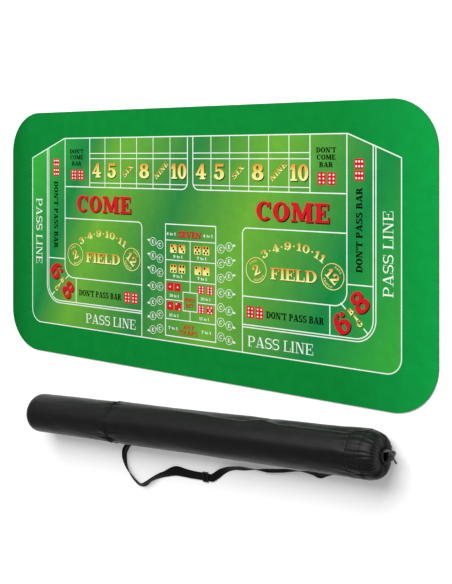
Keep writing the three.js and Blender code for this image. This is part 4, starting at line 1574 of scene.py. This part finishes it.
def joined(piece, other):
    apply_modifier(piece, "BOOLEAN", operation="UNION", solver="EXACT", object=other)
    bpy.data.objects.remove(other)


def set_in_bag(piece):
    """Turns a piece made in the bag's frame, in millimetres, into its place in metres."""
    piece.data.transform(BAG_FRAME)
    piece.data.update()
    return piece


def slider_frame():
    """A moulded tri-glide: two rails, two high outer bars and a low centre bar, all edges rounded."""
    near, far = SLIDER_X - 11, SLIDER_X + 11
    half, rail = 13.2, 3.0
    low, bar_low, top = 1.5, RUN_HEIGHT + 0.8, 7.2
    outer = half + rail
    slider = block("slider_tri_glide", (near, SLIDER_Y - outer, low), (far, SLIDER_Y - half, top))
    joined(slider, block("rail", (near, SLIDER_Y + half, low), (far, SLIDER_Y + outer, top)))
    for start, end, bottom, upper in (
        (near, near + 4.5, bar_low, top), (far - 4.5, far, bar_low, top), (SLIDER_X - 2, SLIDER_X + 2, low, 2.6),
    ):
        joined(slider, block("bar", (start, SLIDER_Y - outer + 0.4, bottom), (end, SLIDER_Y + outer - 0.4, upper)))
    apply_modifier(slider, "BEVEL", width=0.45, segments=3, limit_method="ANGLE", angle_limit=math.radians(40))
    clear_selection()
    slider.select_set(True)
    bpy.context.view_layer.objects.active = slider
    bpy.ops.object.shade_smooth_by_angle(angle=math.radians(35))
    dress(slider, ACETAL)
    belongs(set_in_bag(slider), "slider", "moulded_plastic", "slider_frame")


def foot_ring():
    """A moulded oval loop: a torus whose two halves are drawn apart into a long link."""
    clear_selection()
    bpy.ops.mesh.primitive_torus_add(
        major_radius=6, minor_radius=1.6, major_segments=40, minor_segments=16, location=(0, 0, 0)
    )
    ring = bpy.context.object
    ring.name = "foot_oval_ring"
    bpy.ops.object.mode_set(mode="EDIT")
    for sign in (1, -1):
        mesh = bmesh.from_edit_mesh(ring.data)
        for vertex in mesh.verts:
            vertex.select_set(vertex.co.x * sign > 1e-4)
        mesh.select_flush_mode()
        bmesh.update_edit_mesh(ring.data)
        bpy.ops.transform.translate(value=(sign * 8.4, 0, 0))
    bpy.ops.object.mode_set(mode="OBJECT")
    bpy.ops.object.shade_smooth()
    ring.data.materials.append(ACETAL)
    stand = Matrix(((0, 0, 1, RING_X), (0, 1, 0, HINGE_Y), (-1, 0, 0, HINGE_Z), (0, 0, 0, 1)))
    ring.data.transform(stand)
    belongs(set_in_bag(ring), "strap", "moulded_plastic", "foot_ring")


def strap_stitching():
    """Two rows across the folded tail, and two across the mouth's tab where it is sewn down."""
    half, tail_top = 9, 3.7
    tail = [[((x, SLIDER_Y + w, tail_top), (0, 0, 1)) for w in (-half, half)] for x in (774, 778)]
    stitches("tail_stitching", tail, "slider", 2.2, 0.8, 0.22)
    at = laid(MOUTH_TAB)
    rows = []
    for share in (0.03, 0.27):
        point, wide, across, _ = at(share)
        if across.dot(Vector((0, point.y, point.z - AXIS_HEIGHT))) < 0:
            across = -across
        rows.append([(point + wide * w + across * 0.55, across) for w in (-half, half)])
    stitches("mouth_tab_stitching", rows, "bag", 2.2, 0.8, 0.25)


shoulder_strap()
tail_wrap()
slider_frame()
foot_ring()
strap_stitching()


# ---- The studio ----
def stage_floor():
    clear_selection()
    bpy.ops.mesh.primitive_plane_add(size=30, location=(0, 0, -0.0005))
    floor = bpy.context.object
    floor.name = "studio_floor"

    def paper(tree):
        return speckled(tree, 3, 2, [(0.3, "#FBFBFB"), (0.7, "#FDFDFD")])

    # The paper glows a little though it is no lamp: painted light that lifts the shadows on the floor.
    dress(floor, finish("seamless white paper, glowing", paper, Roughness=0.95, Specular_IOR_Level=0.0, Emission_Strength=0.2))


def lamp(name, at, aim, size, power):
    light = bpy.data.lights.new(name, "AREA")
    light.shape = "RECTANGLE"
    light.size, light.size_y = size
    light.energy = power
    made = bpy.data.objects.new(name, light)
    made.location = at
    made.rotation_euler = (Vector(aim) - Vector(at)).to_track_quat("-Z", "Y").to_euler()
    bpy.context.scene.collection.objects.link(made)


stage_floor()
world = bpy.data.worlds.new("studio")
bpy.context.scene.world = world
world.use_nodes = True
background = world.node_tree.nodes["Background"].inputs
background["Color"].default_value = (1, 1, 1, 1)
background["Strength"].default_value = 0.27
lamp("overhead softbox", (0.2, 4.2, 5.2), (0, -0.2, 0), (7, 5), 620)
